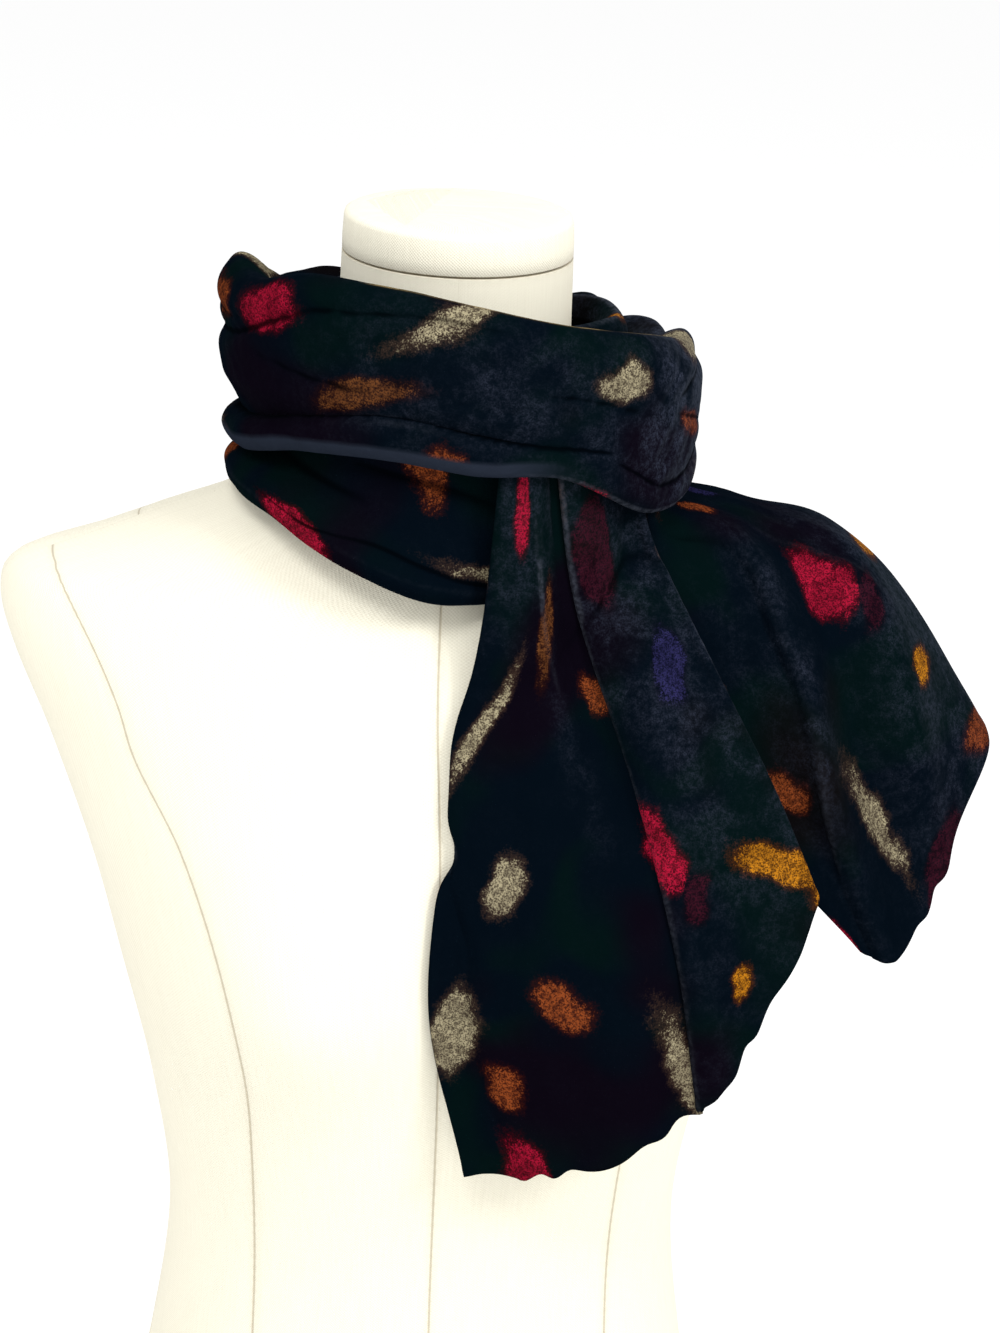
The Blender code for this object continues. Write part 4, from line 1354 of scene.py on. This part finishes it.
# The tail over the shoulder
shoulderTail = {
    "across": 170,
    "down": 250,
    "printFrom": (0.05, 0.15),
    "knotRadius": 0.0945,
    "knotHeight": 0.6241,
    "length": 0.23,
    "rise": 0.0009,
    "stations": (0.0, 0.09, 0.25, 0.5, 0.75, 1.0),
    # across, then a place where it leaves the wrap, at a quarter, half and three quarters of the way, and at
    # the hem
    "folds": (
        (
            0.0, (0.081, -0.047, 0.608), (0.0935, -0.059, 0.568), (0.113, -0.076, 0.52),
            (0.142, -0.081, 0.464), (0.187, -0.07, 0.411),
        ),
        (
            0.026, (0.086, -0.041, 0.609), (0.106, -0.05, 0.581), (0.129, -0.066, 0.537),
            (0.152, -0.076, 0.486), (0.193, -0.069, 0.408),
        ),
        (
            0.048, (0.091, -0.034, 0.609), (0.124, -0.038, 0.592), (0.147, -0.064, 0.547),
            (0.164, -0.078, 0.496), (0.2015, -0.07, 0.4065),
        ),
        (
            0.066, (0.095, -0.026, 0.609), (0.131, -0.023, 0.593), (0.161, -0.043, 0.557),
            (0.18, -0.054, 0.502), (0.215, -0.054, 0.412),
        ),
        (
            0.096, (0.099, -0.01, 0.607), (0.137, -0.008, 0.595), (0.182, -0.028, 0.573),
            (0.205, -0.046, 0.522), (0.229, -0.042, 0.441),
        ),
        (
            0.132, (0.1, 0.01, 0.606), (0.136, 0.014, 0.595), (0.176, 0.016, 0.584),
            (0.2105, 0.004, 0.5535), (0.253, -0.003, 0.4885),
        ),
        (
            0.164, (0.096, 0.028, 0.604), (0.132, 0.044, 0.588), (0.171, 0.046, 0.571),
            (0.2025, 0.038, 0.5355), (0.2405, 0.034, 0.478),
        ),
        (
            0.21, (0.091, 0.05, 0.6), (0.127, 0.084, 0.554), (0.162, 0.076, 0.53),
            (0.194, 0.068, 0.506), (0.226, 0.06, 0.452),
        ),
    ),
    "creases": (
        (-0.0026, 0.01, 0.003, (
            (0.008, 0.004), (0.021, 0.015), (0.038, 0.04), (0.057, 0.047), (0.092, 0.047), (0.131, 0.049),
            (0.157, 0.046), (0.189, 0.038),
        )),
        (-0.0014, 0.0026, 0.0022, ((0.04, 0.056), (0.056, 0.067), (0.084, 0.085), (0.13, 0.104))),
        (0.001, 0.006, 0.006, ((0.03, 0.076), (0.15, 0.08))),
        (0.001, 0.005, 0.005, ((0.05, 0.012), (0.17, 0.02))),
        (-0.001, 0.006, 0.006, ((0.04, 0.11), (0.17, 0.112))),
        (0.0012, 0.006, 0.006, ((0.05, 0.15), (0.16, 0.145))),
        (0.0012, 0.007, 0.006, ((0.12, 0.07), (0.235, 0.062))),
    ),
    "steps": (
        (0.0034, 0.0013, 0.026, -1, (
            (0.018, 0.014), (0.038, 0.037), (0.057, 0.044), (0.092, 0.044), (0.131, 0.046), (0.157, 0.043),
            (0.205, 0.034),
        )),
    ),
    "ripples": ((0.00035, 0.04, 13),),
    "freeFrom": (0.015, 0.045),
    "pucker": (0.01, 0.0009, 0.023, 4),
    # the ridge that catches the light: across, half width
    "litRidge": (0.048, 0.006),
    # Patches of painted sheen where the pile catches the light: a strength, then ramps
    "paintedSheen": (
        (0.05,),
        (0.55, ("across", 0.06, 0.105), ("along", 0.05, 0.11)),
        (0.18, ("across", 0.012, 0.03), ("across", 0.055, 0.04), ("along", 0.04, 0.09)),
        (0.5, ("ridge",), ("along", 0.03, 0.06), ("along", 0.19, 0.16)),
    ),
}


def makeShoulderTail():
    made = shoulderTail
    across, along = tailGrid(made)
    lines = []
    for _, leaves, *rest in made["folds"]:
        turn = math.degrees(math.atan2(leaves[0] - wrapCentreX, -leaves[1]))
        starts = roundPlace(turn, made["knotRadius"], made["knotHeight"])
        lines.append(eased(made["stations"], [starts, leaves, *rest], along))
    middle = eased([row[0] for row in made["folds"]], lines, across)
    flat = tailFlat(across, middle)
    u, run = (flat[..., k] for k in range(2))
    lift = made["rise"] + rippled(made["ripples"], u, run)
    lift = lift - creased(made["creases"], run, u) - stepped(made["steps"], run, u)
    middle = middle + outward(middle, False) * (lift * smooth(*made["freeFrom"], run))[..., None]
    middle = puckered(middle, flat, *made["pucker"])
    at, halfWidth = made["litRidge"]
    ridge = np.exp(-((u - at) / halfWidth) ** 2)
    return makeTail("shoulderTail", "shoulder_tail", made, middle, flat, ridge=ridge)


makeDressForm()
upper = makeUpperWrap()
lower = makeLowerWrap()
inner = makeInnerWrap()
front = makeFrontTail()
over = makeShoulderTail()

print("scarf made")


# The photograph's frame and view
photoView = {
    "azimuth": -5.9,
    "elevation": 20.2,
    "roll": 2.6,
    "target": (0.0262, 0.0, 0.5197),
    "distance": 1.4,
    "sensor": 36.0,
    "focalPixels": 3090.0,
    "frameHeight": 1333.0,
}


def makeCamera():
    made = photoView
    azimuth, elevation, roll = (math.radians(made[name]) for name in ("azimuth", "elevation", "roll"))
    level = math.cos(elevation)
    back = np.array([math.sin(azimuth) * level, -math.cos(azimuth) * level, math.sin(elevation)])
    sideways = np.cross((0, 0, 1), back)
    sideways /= np.linalg.norm(sideways)
    upright = np.cross(back, sideways)
    right = sideways * math.cos(roll) + upright * math.sin(roll)
    up = upright * math.cos(roll) - sideways * math.sin(roll)
    lens = bpy.data.cameras.new("photoCamera")
    lens.sensor_width = made["sensor"]
    lens.lens = made["sensor"] * made["focalPixels"] / made["frameHeight"]
    camera = bpy.data.objects.new("photoCamera", lens)
    bpy.context.scene.collection.objects.link(camera)
    place = np.eye(4)
    place[:3, 0] = right
    place[:3, 1] = up
    place[:3, 2] = back
    place[:3, 3] = np.array(made["target"]) + back * made["distance"]
    camera.matrix_world = Matrix(place.tolist())
    bpy.context.scene.camera = camera


# A pale floor, a strong lamp on the right and two weaker ones on the left
studio = {
    "floorSize": 40.0,
    "floorColour": (0.96, 0.96, 0.96, 1),
    "sky": (1.0, 1.0, 1.0, 1),
    "skyStrength": 1.0,
    # name, place, aim, width, watts
    "lamps": (
        ("keyLamp", (1.6, -1.6, 2.1), (0.0, 0.0, 0.55), 0.7, 34.0),
        ("sideLamp", (-0.9, -1.6, 2.5), (0.0, 0.0, 0.65), 1.0, 10.0),
        ("neckLamp", (-0.3, -1.1, 1.7), (0.0, 0.0, 0.7), 0.4, 8.0),
    ),
}


def makeStudio():
    made = studio
    half = made["floorSize"] / 2
    material, _, shader = newMaterial("paleFloor")
    shader.inputs["Base Color"].default_value = made["floorColour"]
    shader.inputs["Roughness"].default_value = 0.9
    shader.inputs["Specular IOR Level"].default_value = 0.0
    corners = np.array([(-half, -half, 0), (half, -half, 0), (half, half, 0), (-half, half, 0)])
    keepMesh("paleFloor", corners, [(0, 1, 2, 3)], material)
    world = bpy.data.worlds.new("studio")
    world.use_nodes = True
    world.node_tree.nodes["Background"].inputs["Color"].default_value = made["sky"]
    world.node_tree.nodes["Background"].inputs["Strength"].default_value = made["skyStrength"]
    bpy.context.scene.world = world
    for name, place, aim, width, watts in made["lamps"]:
        lamp = bpy.data.lights.new(name, "AREA")
        lamp.size = width
        lamp.energy = watts
        item = bpy.data.objects.new(name, lamp)
        item.location = place
        toward = np.array(aim) - np.array(place)
        item.rotation_mode = "XYZ"
        flatReach = math.hypot(toward[0], toward[1])
        item.rotation_euler = (math.atan2(flatReach, -toward[2]), 0, math.atan2(-toward[0], toward[1]))
        bpy.context.scene.collection.objects.link(item)
    bpy.context.scene.view_settings.view_transform = "Standard"


makeCamera()
makeStudio()
print("camera, floor and lamps set")
